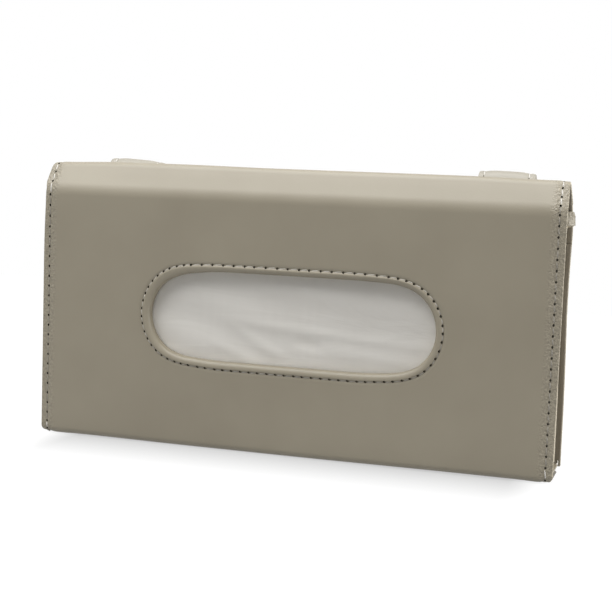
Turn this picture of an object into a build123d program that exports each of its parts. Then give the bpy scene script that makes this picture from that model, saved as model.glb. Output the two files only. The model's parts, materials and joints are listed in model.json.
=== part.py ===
from build123d import *
import math
import os

os.makedirs("parts", exist_ok=True)

# Case: X is the width, the front faces -Y, and Z is up from the surface it stands on
case_width = 230.0
case_depth = 30.0
panel_height = 110.5
peak_rise = 14.3
peak_setback = 9.2
ridge_radius = 4.5
shoulder_drop = 8.3
shoulder_radius = 13.0

# Sheet stock
leather = 1.0
board = 1.2
lining = 0.8
running_gap = 0.3
fitting_gap = 0.1
overrun = 5.0

# Cover and its lip
hinge_gap = 0.3
fold_radius = 3.0
lip_depth = 23.0
lip_corner_radius = 8.0
panel_corner_radius = 3.0
board_margin = 5.5
lining_slope_run = 1.9
board_end_margin = 4.5

# Window
window_length = 126.0
window_height = 38.2
window_place_share = 0.52
binding_width = 2.2
binding_flange = 3.6
binding_sheet = 0.8
binding_roll = 1.8

# Stitches
stitch_pitch = 4.4
stitch_length = 3.0
stitch_width = 0.6
stitch_proud = 0.3
stitch_lift = 0.02
edge_stitch_inset = 3.0
window_stitch_offset = 3.6
window_stitch_pitch = 4.3

# Magnets
magnet_radius = 6.0
magnet_thickness = 0.8
magnet_place_share = 0.52

# Pocket
pocket_inset = 1.0
pocket_fold_radius = 2.0
pocket_seam_height = 8.0
rim_side_width = 12.0
rim_window_gap = 6.56
rim_top_drop = 2.0
rim_corner_radius = 9.0
gusset_fold_depth = 9.0
gusset_flange = 8.5
gusset_top_drop = 1.0
hem_height = 8.0
hem_stitch_drop = 4.0
hem_stitch_shares = (0.1, 0.8)

# Tissues
sheet_thickness = 0.8
pack_side_gap = 4.5
pack_height_share = 0.87
pack_edge_radius = 3.0

# Straps
strap_width = 25.0
strap_sheet = 1.1
strap_place_share = 0.74
strap_rise = 14.5
strap_bend_radius = 6.1
strap_end_radius = 6.0
strap_bow_length = 40.0
anchor_low_share = 0.56
anchor_sewn_height = 24.0
anchor_stitch_margin = 3.0
strap_stitch_inset = 2.5

# Press studs
stud_height = 24.0
stud_flange_radius = 5.5
stud_flange = 0.8
stud_ball_radius = 2.8
stud_ball_height = 2.0
stud_ball_round = 0.7
socket_radius = 6.0
socket_bore_radius = 3.4
socket_base = 0.8
socket_wall_height = 2.3
socket_round = 0.5
cap_radius = 6.3
cap_thickness = 1.8
cap_round = 1.4
post_radius = 1.8
post_flange_radius = 4.5
post_flange = 0.6
strap_below_stud = 12.0
strap_above_stud = 14.0

# Places that follow from the sizes above
half_width = case_width / 2
strap_thickness = 2 * strap_sheet
strap_reach = 2 * strap_bend_radius
front_y = -(case_depth + strap_reach) / 2
back_y = front_y + case_depth
strap_top = panel_height + strap_rise
strap_bend_z = strap_top - strap_bend_radius
strap_x = half_width * strap_place_share
shoulder_z = panel_height - shoulder_drop

cover_top = panel_height - hinge_gap
cover_board_y = front_y + leather
cover_lining_y = cover_board_y + board
cover_inner_y = cover_lining_y + lining
board_half_width = half_width - board_margin
lip_end = front_y + lip_depth
lip_top = leather + lining

back_leather_y = back_y - leather
back_lining_y = back_leather_y - board
back_inner_y = back_lining_y - lining

pocket_half_width = half_width - pocket_inset
pocket_z = lip_top + running_gap
pocket_floor = pocket_z + leather
pocket_board_top = pocket_floor + board
pocket_fold_top = pocket_z + pocket_fold_radius
rim_y = cover_inner_y + running_gap
rim_inner_y = rim_y + leather
rim_top = panel_height - rim_top_drop
gusset_top = panel_height - gusset_top_drop
back_board_bottom = pocket_floor + pocket_seam_height
back_board_top = shoulder_z - shoulder_radius / 2

window_z = panel_height * window_place_share
binding_grow = binding_width + binding_flange
rim_band_top = window_z - window_height / 2 - binding_grow - rim_window_gap
stud_stack = stud_flange + running_gap + socket_wall_height + socket_base
strap_low_y = back_y + stud_stack + strap_thickness
strap_bow_bottom = stud_height + strap_above_stud
strap_end = stud_height - strap_below_stud

case_corners = [
    (front_y, panel_height),
    (front_y + peak_setback, panel_height + peak_rise),
    (back_y, shoulder_z),
    (back_y, 0),
]
case_radii = [ridge_radius, shoulder_radius]


def save(node, *solids):
    shape = solids[0] if len(solids) == 1 else Compound(children=list(solids))
    export_step(shape, f"parts/{node}.step")


def block(x_low, x_high, y_low, y_high, z_low, z_high):
    center = ((x_low + x_high) / 2, (y_low + y_high) / 2, (z_low + z_high) / 2)
    return Location(center) * Box(x_high - x_low, y_high - y_low, z_high - z_low)


def across_width(face_yz, x_low, x_high):
    """Solid of a face drawn in (y, z), from one x to another."""
    face = Plane((x_low, 0, 0), x_dir=(0, 1, 0), z_dir=(1, 0, 0)) * face_yz
    return extrude(face, amount=x_high - x_low, dir=(1, 0, 0))


def upright(face_xy, z_low, z_high):
    return extrude(Location((0, 0, z_low)) * face_xy, amount=z_high - z_low, dir=(0, 0, 1))


def through_depth(face_xz, y_low, y_high):
    """Solid of a face drawn in (x, z), from one y to another."""
    face = Plane((0, y_high, 0), x_dir=(1, 0, 0), z_dir=(0, -1, 0)) * face_xz
    return extrude(face, amount=y_high - y_low, dir=(0, -1, 0))


def polygon(points):
    return make_face(Polyline(*points, close=True))


def sheet_face(path, side, start, thickness):
    """Face of a sheet that begins a distance inside a path and is one thickness deep."""
    wire = Wire(path.edges())
    if start > 0:
        wire = wire.offset_2d(start, side=side, closed=False)
    return Face(wire.offset_2d(thickness, side=side, closed=True))


def slot_through(grow, y_low, y_high):
    """Window outline, larger by grow all round, as a cutter along Y."""
    outline = SlotOverall(window_length + 2 * grow, window_height + 2 * grow)
    return through_depth(Location((0, window_z)) * outline, y_low, y_high)


def round_disc(radius, height, origin, direction):
    return extrude(Plane(origin, z_dir=direction) * Circle(radius), amount=height)


def stitch_row(path, pitch, outward=None, across=None):
    """Stitches laid on a path; they stand proud along outward, or along across x tangent."""
    wire = Wire(path.edges())
    count = max(1, round(wire.length / pitch))
    stitches = []
    for index in range(count):
        share = (index + 0.5) / count
        tangent = wire.tangent_at(share)
        proud = outward if outward else across.cross(tangent)
        foot = wire.position_at(share) + proud.normalized() * stitch_lift
        seat = Plane(foot, x_dir=tangent, z_dir=proud)
        thread = Box(
            stitch_length,
            stitch_width,
            stitch_proud,
            align=(Align.CENTER, Align.CENTER, Align.MIN),
        )
        stitches.append(seat * thread)
    return stitches


def lining_section(leather_face_y, inward):
    """Lining over a board, in (x, y): it slopes down to the leather beside the board."""
    slope_end = board_half_width + lining_slope_run
    stations = [(-half_width, 0), (-slope_end, 0), (-board_half_width, board)]
    stations += [(-x, rise) for x, rise in reversed(stations)]
    outer = [(x, leather_face_y + inward * rise) for x, rise in stations]
    inner = [(x, leather_face_y + inward * (rise + lining)) for x, rise in stations]
    return polygon(outer + inner[::-1])


def case_path():
    return FilletPolyline(*case_corners, radius=case_radii)


def clear_of_crease(sheet):
    """Square off the front end of a crown sheet level with the crease."""
    return sheet - block(
        -half_width - overrun,
        half_width + overrun,
        front_y - overrun,
        front_y + peak_setback / 2,
        -overrun,
        panel_height,
    )


def pocket_space():
    """Room inside the crown and back, for what is tucked under them."""
    inner = Wire(case_path().edges()).offset_2d(
        leather + lining + running_gap, side=Side.RIGHT, closed=False
    )
    start = inner.position_at(0)
    end = inner.position_at(1)
    corners = Polyline((end.X, end.Y), (front_y, 0), (start.X, start.Y))
    face = Face(Wire([*inner.edges(), *corners.edges()]))
    return across_width(face, -half_width, half_width)


# Cover
def cover_envelope():
    """Full block of the cover with its front corners and lip corners rounded."""
    front = Location((0, panel_height / 2)) * Rectangle(case_width, panel_height)
    front = fillet(front.vertices().sort_by(Axis.Y)[:2], panel_corner_radius)
    plan = Location((0, front_y + lip_depth / 2)) * Rectangle(case_width, lip_depth)
    plan = fillet(plan.vertices().sort_by(Axis.Y)[2:], lip_corner_radius)
    return through_depth(front, front_y, lip_end) & upright(plan, 0, panel_height)


def magnet_discs(center_y, z_low, radius, thickness):
    discs = []
    for side in (-1, 1):
        place = (side * half_width * magnet_place_share, center_y, z_low)
        discs.append(round_disc(radius, thickness, place, (0, 0, 1)))
    return discs


def make_cover():
    envelope = cover_envelope()
    bore = slot_through(binding_width + fitting_gap, front_y - overrun, cover_inner_y + overrun)
    magnet_y = (front_y + lip_end + fold_radius) / 2
    magnet_z = leather - magnet_thickness / 2
    recess = magnet_discs(magnet_y, magnet_z, magnet_radius + fitting_gap, magnet_thickness)

    path = FilletPolyline(
        (front_y, cover_top), (front_y, 0), (lip_end, 0), radius=fold_radius
    )
    skin = across_width(sheet_face(path, Side.LEFT, 0, leather), -half_width, half_width)
    skin = (skin & envelope) - bore - recess
    save("cover_leather", skin)

    stiffener = block(
        -board_half_width + fitting_gap,
        board_half_width - fitting_gap,
        cover_board_y,
        cover_lining_y,
        fold_radius + board_end_margin / 2,
        cover_top - board_end_margin,
    )
    save("cover_board", stiffener - bore)

    panel_lining = upright(lining_section(cover_board_y, 1), fold_radius, cover_top)
    save("cover_lining", panel_lining - bore)

    lip_cover = block(
        -half_width,
        half_width,
        cover_inner_y + running_gap,
        lip_end,
        leather,
        lip_top,
    )
    save("lip_lining", (lip_cover & envelope) - recess)

    magnets = magnet_discs(magnet_y, magnet_z, magnet_radius, magnet_thickness)
    save("lip_magnets", *magnets)


def make_window_binding():
    back = cover_inner_y + binding_sheet
    ring = slot_through(binding_width, front_y, back) - slot_through(
        0, front_y - overrun, back + overrun
    )
    front_face = ring.faces().sort_by(Axis.Y)[0]
    ring = fillet(front_face.inner_wires()[0].edges(), binding_roll)
    flange = slot_through(binding_grow, cover_inner_y, back)
    flange -= slot_through(binding_width, cover_inner_y - overrun, back + overrun)
    save("window_binding", ring + flange)


def make_cover_stitching():
    rows = []
    for side in (-1, 1):
        x = side * (half_width - edge_stitch_inset)
        line = Line((x, front_y, fold_radius), (x, front_y, cover_top))
        rows += stitch_row(line, stitch_pitch, outward=Vector(0, -1, 0))
    save("cover_edge_stitching", *rows)

    outline = SlotOverall(
        window_length + 2 * window_stitch_offset, window_height + 2 * window_stitch_offset
    )
    seat = Plane((0, front_y, window_z), x_dir=(1, 0, 0), z_dir=(0, -1, 0))
    oval = (seat * outline).face().outer_wire()
    save("window_stitching", *stitch_row(oval, window_stitch_pitch, outward=Vector(0, -1, 0)))


# Case
def make_case_shell():
    post_holes = stud_cutters(back_inner_y - overrun, back_y + overrun)

    skin = across_width(sheet_face(case_path(), Side.RIGHT, 0, leather), -half_width, half_width)
    save("case_leather", clear_of_crease(skin) - post_holes)

    crown = sheet_face(case_path(), Side.RIGHT, leather, lining)
    crown = clear_of_crease(across_width(crown, -half_width, half_width))
    crown -= block(
        -half_width - overrun,
        half_width + overrun,
        front_y + peak_setback,
        back_y + overrun,
        -overrun,
        back_board_top + running_gap,
    )
    save("crown_lining", crown)

    stiffener = block(
        -board_half_width + fitting_gap,
        board_half_width - fitting_gap,
        back_lining_y,
        back_leather_y,
        back_board_bottom,
        back_board_top,
    )
    save("back_board", stiffener - post_holes)

    panel_lining = upright(lining_section(back_leather_y, -1), pocket_fold_top, back_board_top)
    save("back_lining", panel_lining - post_holes)


def stud_cutters(y_low, y_high):
    cutters = []
    for side in (-1, 1):
        place = (side * strap_x, y_low, stud_height)
        cutters.append(
            round_disc(post_radius + fitting_gap, y_high - y_low, place, (0, 1, 0))
        )
    return cutters


def make_case_stitching():
    rows = []
    for side in (-1, 1):
        x = side * (half_width - edge_stitch_inset)
        path = Plane((x, 0, 0), x_dir=(0, 1, 0), z_dir=(1, 0, 0)) * case_path()
        rows += stitch_row(path, stitch_pitch, across=Vector(1, 0, 0))
    save("case_edge_stitching", *rows)


def make_pocket():
    path = FilletPolyline(
        (rim_y, rim_top),
        (rim_y, pocket_z),
        (back_leather_y, pocket_z),
        (back_leather_y, back_board_bottom - running_gap),
        radius=pocket_fold_radius,
    )
    skin = across_width(
        sheet_face(path, Side.LEFT, 0, leather), -pocket_half_width, pocket_half_width
    )
    mouth_half_width = pocket_half_width - rim_side_width
    mouth_height = rim_top + overrun - rim_band_top
    mouth = Location((0, rim_band_top + mouth_height / 2)) * Rectangle(
        2 * mouth_half_width, mouth_height
    )
    mouth = fillet(mouth.vertices().sort_by(Axis.Y)[:2], rim_corner_radius)
    skin -= through_depth(mouth, rim_y - overrun, rim_inner_y + overrun)
    for side in (-1, 1):
        inner_x = side * (board_half_width - fitting_gap)
        outer_x = side * (half_width + overrun)
        skin -= block(
            min(inner_x, outer_x),
            max(inner_x, outer_x),
            back_inner_y - fitting_gap,
            back_y,
            pocket_z - overrun,
            back_board_bottom,
        )
    save("pocket_leather", skin)

    magnet_y = (front_y + lip_end + fold_radius) / 2
    holes = magnet_discs(magnet_y, pocket_floor - overrun, magnet_radius + fitting_gap, 2 * overrun)
    valley_x = pocket_half_width - leather - gusset_fold_depth
    stiffener = block(
        -valley_x + running_gap,
        valley_x - running_gap,
        rim_inner_y + pocket_fold_radius,
        back_inner_y - running_gap,
        pocket_floor,
        pocket_board_top,
    )
    save("pocket_board", stiffener - holes)
    save("pocket_magnets", *magnet_discs(magnet_y, pocket_floor, magnet_radius, board))


def gusset_points(side):
    """Fold points of a gusset's two leaves in (x, y), from the front seam to the back one."""
    out_x = side * (pocket_half_width - leather / 2)
    valley_x = out_x - side * gusset_fold_depth
    first_y = rim_inner_y + leather / 2
    last_y = back_inner_y - leather / 2
    return [(out_x, first_y), (valley_x, (first_y + last_y) / 2), (out_x, last_y)]


def beside_leaves(leaves, toward_x, distance):
    """The leaves moved sideways, so that each lies a distance from where it was."""
    (x_fold, y_fold), (x_valley, y_valley) = leaves[:2]
    slope = math.hypot(x_valley - x_fold, y_valley - y_fold) / (y_valley - y_fold)
    return [(x + toward_x * distance * slope, y) for x, y in leaves]


def make_hem(leaves, side):
    near = beside_leaves(leaves, -side, leather / 2)
    far = beside_leaves(leaves, -side, leather / 2 + leather)
    hem = upright(polygon(near + far[::-1]), gusset_top - hem_height, gusset_top)
    between_flanges = block(
        -half_width,
        half_width,
        rim_inner_y + leather,
        back_inner_y - leather,
        gusset_top - hem_height,
        gusset_top,
    )
    return hem & between_flanges


def make_hem_stitches(leaves, side):
    height = gusset_top - hem_stitch_drop
    corners = [(x, y, height) for x, y in beside_leaves(leaves, side, leather / 2)]
    stitches = []
    for start, end in zip(corners, corners[1:]):
        line = Line(start, end)
        outward = (line % 0).cross(Vector(0, 0, side))
        stitches += stitch_row(line.trim(*hem_stitch_shares), stitch_pitch, outward=outward)
    return stitches


def make_gussets():
    room = pocket_space()
    hems = []
    hem_stitches = []
    for name, side in (("gusset_left", -1), ("gusset_right", 1)):
        leaves = gusset_points(side)
        flange_x = leaves[0][0] - side * gusset_flange
        strip = Polyline((flange_x, leaves[0][1]), *leaves, (flange_x, leaves[-1][1]))
        section = Face(Wire(strip.edges()).offset_2d(leather / 2, side=Side.BOTH))
        save(name, upright(section, pocket_fold_top, gusset_top) & room)
        hems.append(make_hem(leaves, side) & room)
        hem_stitches += make_hem_stitches(leaves, side)
    save("gusset_hems", *hems)
    save("gusset_hem_stitching", *hem_stitches)


def make_tissues():
    sheet_y = rim_inner_y + fitting_gap
    stack_y = sheet_y + sheet_thickness
    valley_x = pocket_half_width - leather - gusset_fold_depth - leather
    half_length = valley_x - pack_side_gap
    pack_top = pocket_board_top + panel_height * pack_height_share
    stack = block(
        -half_length,
        half_length,
        stack_y,
        back_inner_y - post_flange - fitting_gap,
        pocket_board_top,
        pack_top,
    )
    stack = fillet(stack.edges().filter_by(Axis.X), pack_edge_radius)
    save("tissue_stack", stack)
    sheet = block(
        -half_length + pack_edge_radius,
        half_length - pack_edge_radius,
        sheet_y,
        stack_y,
        pocket_board_top + pack_edge_radius,
        pack_top - pack_edge_radius,
    )
    save("top_tissue", sheet)


# Straps
def anchor_path():
    low_z = panel_height * anchor_low_share
    rise = Line((back_y, low_z), (back_y, strap_bend_z))
    bend = CenterArc((back_y + strap_bend_radius, strap_bend_z), strap_bend_radius, 180, -90)
    return Curve() + [rise, bend]


def strap_path():
    """Show side of a strap, from the top of its bend down to its free end."""
    shift = back_y + strap_reach - strap_low_y
    turn = 2 * math.atan(shift / strap_bow_length)
    radius = strap_bow_length / (2 * math.sin(turn))
    turn_degrees = math.degrees(turn)
    outer_y = back_y + strap_reach
    bow_top = strap_bow_bottom + strap_bow_length
    start_turn = 90 - math.degrees(hinge_gap / strap_bend_radius)
    bend_center = (back_y + strap_bend_radius, strap_bend_z)
    bend = CenterArc(bend_center, strap_bend_radius, start_turn, -start_turn)
    fall = Line((outer_y, strap_bend_z), (outer_y, bow_top))
    inward = JernArc(start=fall @ 1, tangent=(0, -1), radius=radius, arc_size=-turn_degrees)
    back = JernArc(start=inward @ 1, tangent=inward % 1, radius=radius, arc_size=turn_degrees)
    end = Line(back @ 1, (strap_low_y, strap_end))
    return Curve() + [bend, fall, inward, back, end]


def strap_outline(center_x):
    height = strap_top + overrun - strap_end
    outline = Location((center_x, strap_end + height / 2)) * Rectangle(strap_width, height)
    outline = fillet(outline.vertices().sort_by(Axis.Y)[:2], strap_end_radius)
    return through_depth(outline, back_y, back_y + strap_reach + overrun)


def make_strap(name, center_x):
    left = center_x - strap_width / 2
    right = center_x + strap_width / 2
    inner_face = strap_low_y - strap_thickness
    hole = round_disc(
        post_radius + fitting_gap,
        strap_thickness + 2 * fitting_gap,
        (center_x, inner_face - fitting_gap, stud_height),
        (0, 1, 0),
    )
    outline = strap_outline(center_x)
    layers = (("", 0), ("_backing", strap_sheet))
    for suffix, start in layers:
        layer = across_width(sheet_face(strap_path(), Side.RIGHT, start, strap_sheet), left, right)
        save(name + suffix, (layer & outline) - hole)

    anchor = across_width(sheet_face(anchor_path(), Side.RIGHT, 0, strap_thickness), left, right)
    save(name + "_anchor", anchor)

    rows = []
    for side in (-1, 1):
        x = center_x + side * (strap_width / 2 - strap_stitch_inset)
        seat = Plane((x, 0, 0), x_dir=(0, 1, 0), z_dir=(1, 0, 0))
        path = Wire((seat * strap_path()).edges())
        trimmed = path.trim(0, 1 - strap_end_radius / path.length)
        rows += stitch_row(trimmed, stitch_pitch, across=Vector(1, 0, 0))
    save(name + "_stitching", *rows)

    cap = round_disc(cap_radius, cap_thickness, (center_x, strap_low_y, stud_height), (0, 1, 0))
    cap = fillet(cap.edges().sort_by(Axis.Y)[-1], cap_round)
    cap += round_disc(
        post_radius, strap_thickness, (center_x, inner_face, stud_height), (0, 1, 0)
    )
    save(name + "_cap", cap)

    depth = socket_base + socket_wall_height
    socket = round_disc(
        socket_radius, depth, (center_x, inner_face, stud_height), (0, -1, 0)
    )
    socket = fillet(socket.edges().sort_by(Axis.Y)[0], socket_round)
    socket -= round_disc(
        socket_bore_radius,
        socket_wall_height,
        (center_x, inner_face - depth, stud_height),
        (0, 1, 0),
    )
    save(name + "_socket", socket)


def make_anchor_stitching():
    rows = []
    low_z = panel_height * anchor_low_share + anchor_stitch_margin
    width = strap_width - 2 * strap_stitch_inset
    for side in (-1, 1):
        center = (side * strap_x, back_y + strap_thickness, low_z + anchor_sewn_height / 2)
        seat = Plane(center, x_dir=(1, 0, 0), z_dir=(0, -1, 0))
        frame = (seat * Rectangle(width, anchor_sewn_height)).face().outer_wire()
        for edge in frame.edges():
            rows += stitch_row(edge, stitch_pitch, outward=Vector(0, 1, 0))
    save("anchor_stitching", *rows)


def make_studs():
    studs = []
    posts = []
    for side in (-1, 1):
        x = side * strap_x
        stud = round_disc(stud_flange_radius, stud_flange, (x, back_y, stud_height), (0, 1, 0))
        ball = round_disc(
            stud_ball_radius,
            stud_flange + stud_ball_height,
            (x, back_y, stud_height),
            (0, 1, 0),
        )
        ball = fillet(ball.edges().sort_by(Axis.Y)[-1], stud_ball_round)
        studs.append(stud + ball)
        head_y = back_inner_y - post_flange
        head = round_disc(post_flange_radius, post_flange, (x, head_y, stud_height), (0, 1, 0))
        shank = round_disc(post_radius, back_y - head_y, (x, head_y, stud_height), (0, 1, 0))
        posts.append(head + shank)
    save("snap_studs", *studs)
    save("snap_posts", *posts)


make_cover()
make_window_binding()
make_cover_stitching()
make_case_shell()
make_case_stitching()
make_pocket()
make_gussets()
make_tissues()
make_strap("strap_left", -strap_x)
make_strap("strap_right", strap_x)
make_anchor_stitching()
make_studs()
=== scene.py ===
import json
import math
import random

import bpy
from mathutils import Matrix, Vector

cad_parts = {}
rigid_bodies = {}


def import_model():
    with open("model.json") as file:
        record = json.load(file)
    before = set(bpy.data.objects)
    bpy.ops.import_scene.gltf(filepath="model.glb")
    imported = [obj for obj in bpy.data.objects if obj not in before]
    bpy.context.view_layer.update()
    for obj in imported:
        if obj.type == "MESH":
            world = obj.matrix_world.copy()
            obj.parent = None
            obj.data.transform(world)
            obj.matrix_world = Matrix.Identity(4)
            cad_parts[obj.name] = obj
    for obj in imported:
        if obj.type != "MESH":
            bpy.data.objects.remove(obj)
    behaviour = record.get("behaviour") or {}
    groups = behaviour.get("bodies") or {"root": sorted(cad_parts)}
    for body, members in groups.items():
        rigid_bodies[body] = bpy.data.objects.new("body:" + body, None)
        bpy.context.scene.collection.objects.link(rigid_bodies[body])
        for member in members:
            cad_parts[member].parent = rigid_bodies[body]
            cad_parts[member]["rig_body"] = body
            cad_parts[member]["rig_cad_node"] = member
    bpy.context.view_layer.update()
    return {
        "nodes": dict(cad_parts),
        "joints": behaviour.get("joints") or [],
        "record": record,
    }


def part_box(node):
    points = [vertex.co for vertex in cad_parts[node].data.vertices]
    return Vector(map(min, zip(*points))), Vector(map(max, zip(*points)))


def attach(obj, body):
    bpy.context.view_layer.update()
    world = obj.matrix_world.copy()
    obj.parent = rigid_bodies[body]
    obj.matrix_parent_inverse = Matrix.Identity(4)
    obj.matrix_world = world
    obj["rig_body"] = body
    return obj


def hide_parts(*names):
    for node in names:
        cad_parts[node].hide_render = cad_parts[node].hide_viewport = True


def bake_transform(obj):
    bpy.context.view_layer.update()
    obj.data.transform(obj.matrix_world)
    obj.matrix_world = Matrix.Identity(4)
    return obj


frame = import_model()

mm = 0.001

# places that the CAD fixes
hingeAt = {joint["name"]: Vector(joint["pos_m"]) for joint in frame["joints"]}
creaseY = hingeAt["cover_hinge"].y
creaseZ = hingeAt["cover_hinge"].z
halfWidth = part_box("cover_leather")[1].x
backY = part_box("case_leather")[1].y
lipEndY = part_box("cover_leather")[1].y


# Camera, fitted to the photograph
photoView = {
    "azimuth": 17.144,
    "elevation": 6.088,
    "roll": 2.099,
    "distance": 0.55,
    "target": (0.008738, -0.0211, 0.0655),
    "focalPixels": 1307.04,
    "imagePixels": 612,
    "sensor": 36.0,
    "clipStart": 0.01,
}


def placeCamera(view):
    turn, rise, roll = (math.radians(view[key]) for key in ("azimuth", "elevation", "roll"))
    back = Vector((math.sin(turn) * math.cos(rise), -math.cos(turn) * math.cos(rise), math.sin(rise)))
    level = Vector((math.cos(turn), math.sin(turn), 0))
    upright = back.cross(level)
    right = level * math.cos(roll) + upright * math.sin(roll)
    up = upright * math.cos(roll) - level * math.sin(roll)
    bpy.ops.object.camera_add()
    camera = bpy.context.object
    camera.name = "photoCamera"
    turned = Matrix((right, up, back)).transposed().to_4x4()
    camera.matrix_world = Matrix.Translation(Vector(view["target"]) + back * view["distance"]) @ turned
    camera.data.sensor_width = view["sensor"]
    camera.data.lens = view["sensor"] * view["focalPixels"] / view["imagePixels"]
    camera.data.clip_start = view["clipStart"]
    bpy.context.scene.camera = camera


placeCamera(photoView)
print("camera placed")


# Modelling helpers
def makeActive(piece):
    if bpy.context.object and bpy.context.object.mode != "OBJECT":
        bpy.ops.object.mode_set(mode="OBJECT")
    bpy.ops.object.select_all(action="DESELECT")
    piece.select_set(True)
    bpy.context.view_layer.objects.active = piece


def namePiece(name):
    piece = bpy.context.object
    piece.name = name
    piece.data.name = name
    return piece


def pick(piece, test, kind="VERT"):
    # leaves the piece in edit mode, with what passes the test selected
    makeActive(piece)
    bpy.ops.object.mode_set(mode="EDIT")
    bpy.ops.mesh.select_mode(type=kind)
    bpy.ops.mesh.select_all(action="DESELECT")
    bpy.ops.object.mode_set(mode="OBJECT")
    for item in piece.data.vertices if kind == "VERT" else piece.data.polygons:
        item.select = test(item)
    bpy.ops.object.mode_set(mode="EDIT")


def pickAll(piece):
    makeActive(piece)
    bpy.ops.object.mode_set(mode="EDIT")
    bpy.ops.mesh.select_mode(type="VERT")
    bpy.ops.mesh.select_all(action="SELECT")


def done():
    bpy.ops.object.mode_set(mode="OBJECT")


def settle(piece):
    # writes the object's place and turn into its mesh
    makeActive(piece)
    bpy.ops.object.transform_apply(location=True, rotation=True, scale=True)


def applyModifier(piece, kind, **settings):
    makeActive(piece)
    bpy.ops.object.modifier_add(type=kind)
    modifier = piece.modifiers[-1]
    for key, value in settings.items():
        setattr(modifier, key, value)
    bpy.ops.object.modifier_apply(modifier=modifier.name)


def smooth(piece, degrees=35):
    makeActive(piece)
    bpy.ops.object.shade_smooth_by_angle(angle=math.radians(degrees))


def joinAll(pieces, name):
    makeActive(pieces[0])
    for piece in pieces:
        piece.select_set(True)
    bpy.ops.object.join()
    return namePiece(name)


def cutAway(piece, cutter):
    applyModifier(
        piece, "BOOLEAN", operation="DIFFERENCE", solver="EXACT", object=cutter, material_mode="TRANSFER"
    )
    bpy.data.objects.remove(cutter)


def setMaterials(piece, *materials):
    piece.data.materials.clear()
    for material in materials:
        piece.data.materials.append(material)


def recalculate(piece):
    pickAll(piece)
    bpy.ops.mesh.remove_doubles(threshold=0.002 * mm)
    bpy.ops.mesh.normals_make_consistent(inside=False)
    done()


def faceTowards(piece, centre, direction):
    # turns an open sheet's faces if those near a place look the wrong way
    near = min(piece.data.polygons, key=lambda face: (face.center - Vector(centre)).length)
    if near.normal.dot(Vector(direction)) < 0:
        pickAll(piece)
        bpy.ops.mesh.flip_normals()
        done()


def addLoops(piece, axis, stations):
    # an edge loop round the piece at each station along an axis
    normal = Vector([float(index == axis) for index in range(3)])
    for station in stations:
        pickAll(piece)
        bpy.ops.mesh.bisect(plane_co=normal * station, plane_no=normal)
    done()


def press(piece, depthAt):
    # moves points in along their normals
    normals = [vertex.normal.copy() for vertex in piece.data.vertices]
    for vertex, normal in zip(piece.data.vertices, normals):
        vertex.co -= normal * depthAt(vertex.co)
    piece.data.update()


def roundRim(piece, test, width, segments):
    # bevels the edges round the faces that pass the test
    pick(piece, test, "FACE")
    bpy.ops.mesh.region_to_loop()
    bpy.ops.mesh.bevel(offset=width, segments=segments, affect="EDGES")
    done()


def clamp(value):
    return min(1.0, max(0.0, value))


def ease(value, low, high):
    share = clamp((value - low) / (high - low))
    return share * share * (3 - 2 * share)


def hill(value, centre, spread):
    return math.exp(-(((value - centre) / spread) ** 2))


# Bent sheets: a path in (y, z) with rounded corners, extruded and spun from an edge across X
def planPath(corners, radii):
    corners = [Vector(corner) for corner in corners]
    steps = []
    here = corners[0]
    for before, corner, after, radius in zip(corners, corners[1:], corners[2:], radii):
        arrive = (corner - before).normalized()
        leave = (after - corner).normalized()
        turn = math.atan2(arrive.x * leave.y - arrive.y * leave.x, arrive.dot(leave))
        reach = radius * math.tan(abs(turn) / 2)
        first = corner - arrive * reach
        side = Vector((-arrive.y, arrive.x)) * math.copysign(radius, turn)
        steps.append(("run", here, first, (first - here).length))
        steps.append(("bend", first, first + side, turn, radius * abs(turn)))
        here = corner + leave * reach
    steps.append(("run", here, corners[-1], (corners[-1] - here).length))
    return steps


def pathLength(steps):
    return sum(step[-1] for step in steps)


def pathPoint(steps, distance):
    # place and direction at a distance along a planned path
    for step in steps:
        if distance <= step[-1] or step is steps[-1]:
            break
        distance -= step[-1]
    if step[0] == "run":
        direction = (step[2] - step[1]).normalized()
        return step[1] + direction * distance, direction
    start, centre, turn = step[1:4]
    arm = Matrix.Rotation(turn * distance / step[-1], 2) @ (start - centre)
    return centre + arm, Vector((-arm.y, arm.x)).normalized() * math.copysign(1, turn)


def sheetAlong(name, steps, low, high, rowLength, bendRow):
    # an edge across X, drawn along the path: runs are extruded and bends are spun
    start = steps[0][1]
    bpy.ops.mesh.primitive_plane_add(size=1, location=((low + high) / 2, start.x - 0.5, start.y))
    piece = namePiece(name)
    piece.scale = (high - low, 1, 1)
    settle(piece)
    pick(piece, lambda vertex: vertex.co.y < start.x - 0.5)
    bpy.ops.mesh.delete(type="VERT")
    bpy.ops.mesh.select_all(action="SELECT")
    for step in steps:
        if step[-1] < 0.001 * mm:
            continue
        if step[0] == "run":
            count = max(1, round(step[-1] / rowLength))
            move = (step[2] - step[1]) / count
            for _ in range(count):
                bpy.ops.mesh.extrude_region_move(TRANSFORM_OT_translate={"value": (0, move.x, move.y)})
        else:
            centre, turn = step[2:4]
            count = max(2, round(step[-1] / bendRow))
            bpy.ops.mesh.spin(steps=count, angle=-turn, center=(0, centre.x, centre.y), axis=(1, 0, 0))
    done()
    recalculate(piece)
    return piece


# Stitches
stitch = {
    "width": 0.55 * mm,
    "height": 0.42 * mm,
    "lift": 0.06 * mm,
    "slant": 7.0,
    "slantSpread": 3.0,
    "share": 0.66,
    "endsFrom": 0.4,
    "endNarrow": (1, 0.55, 0.6),
    "endDrop": -0.55,
    "shoulderDrop": -0.08,
    "pitWidth": 1.1 * mm,
    "pitLength": 1.35 * mm,
    "pitDepth": 0.9 * mm,
    "pitNarrow": (0.6, 0.6, 1),
}


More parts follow.
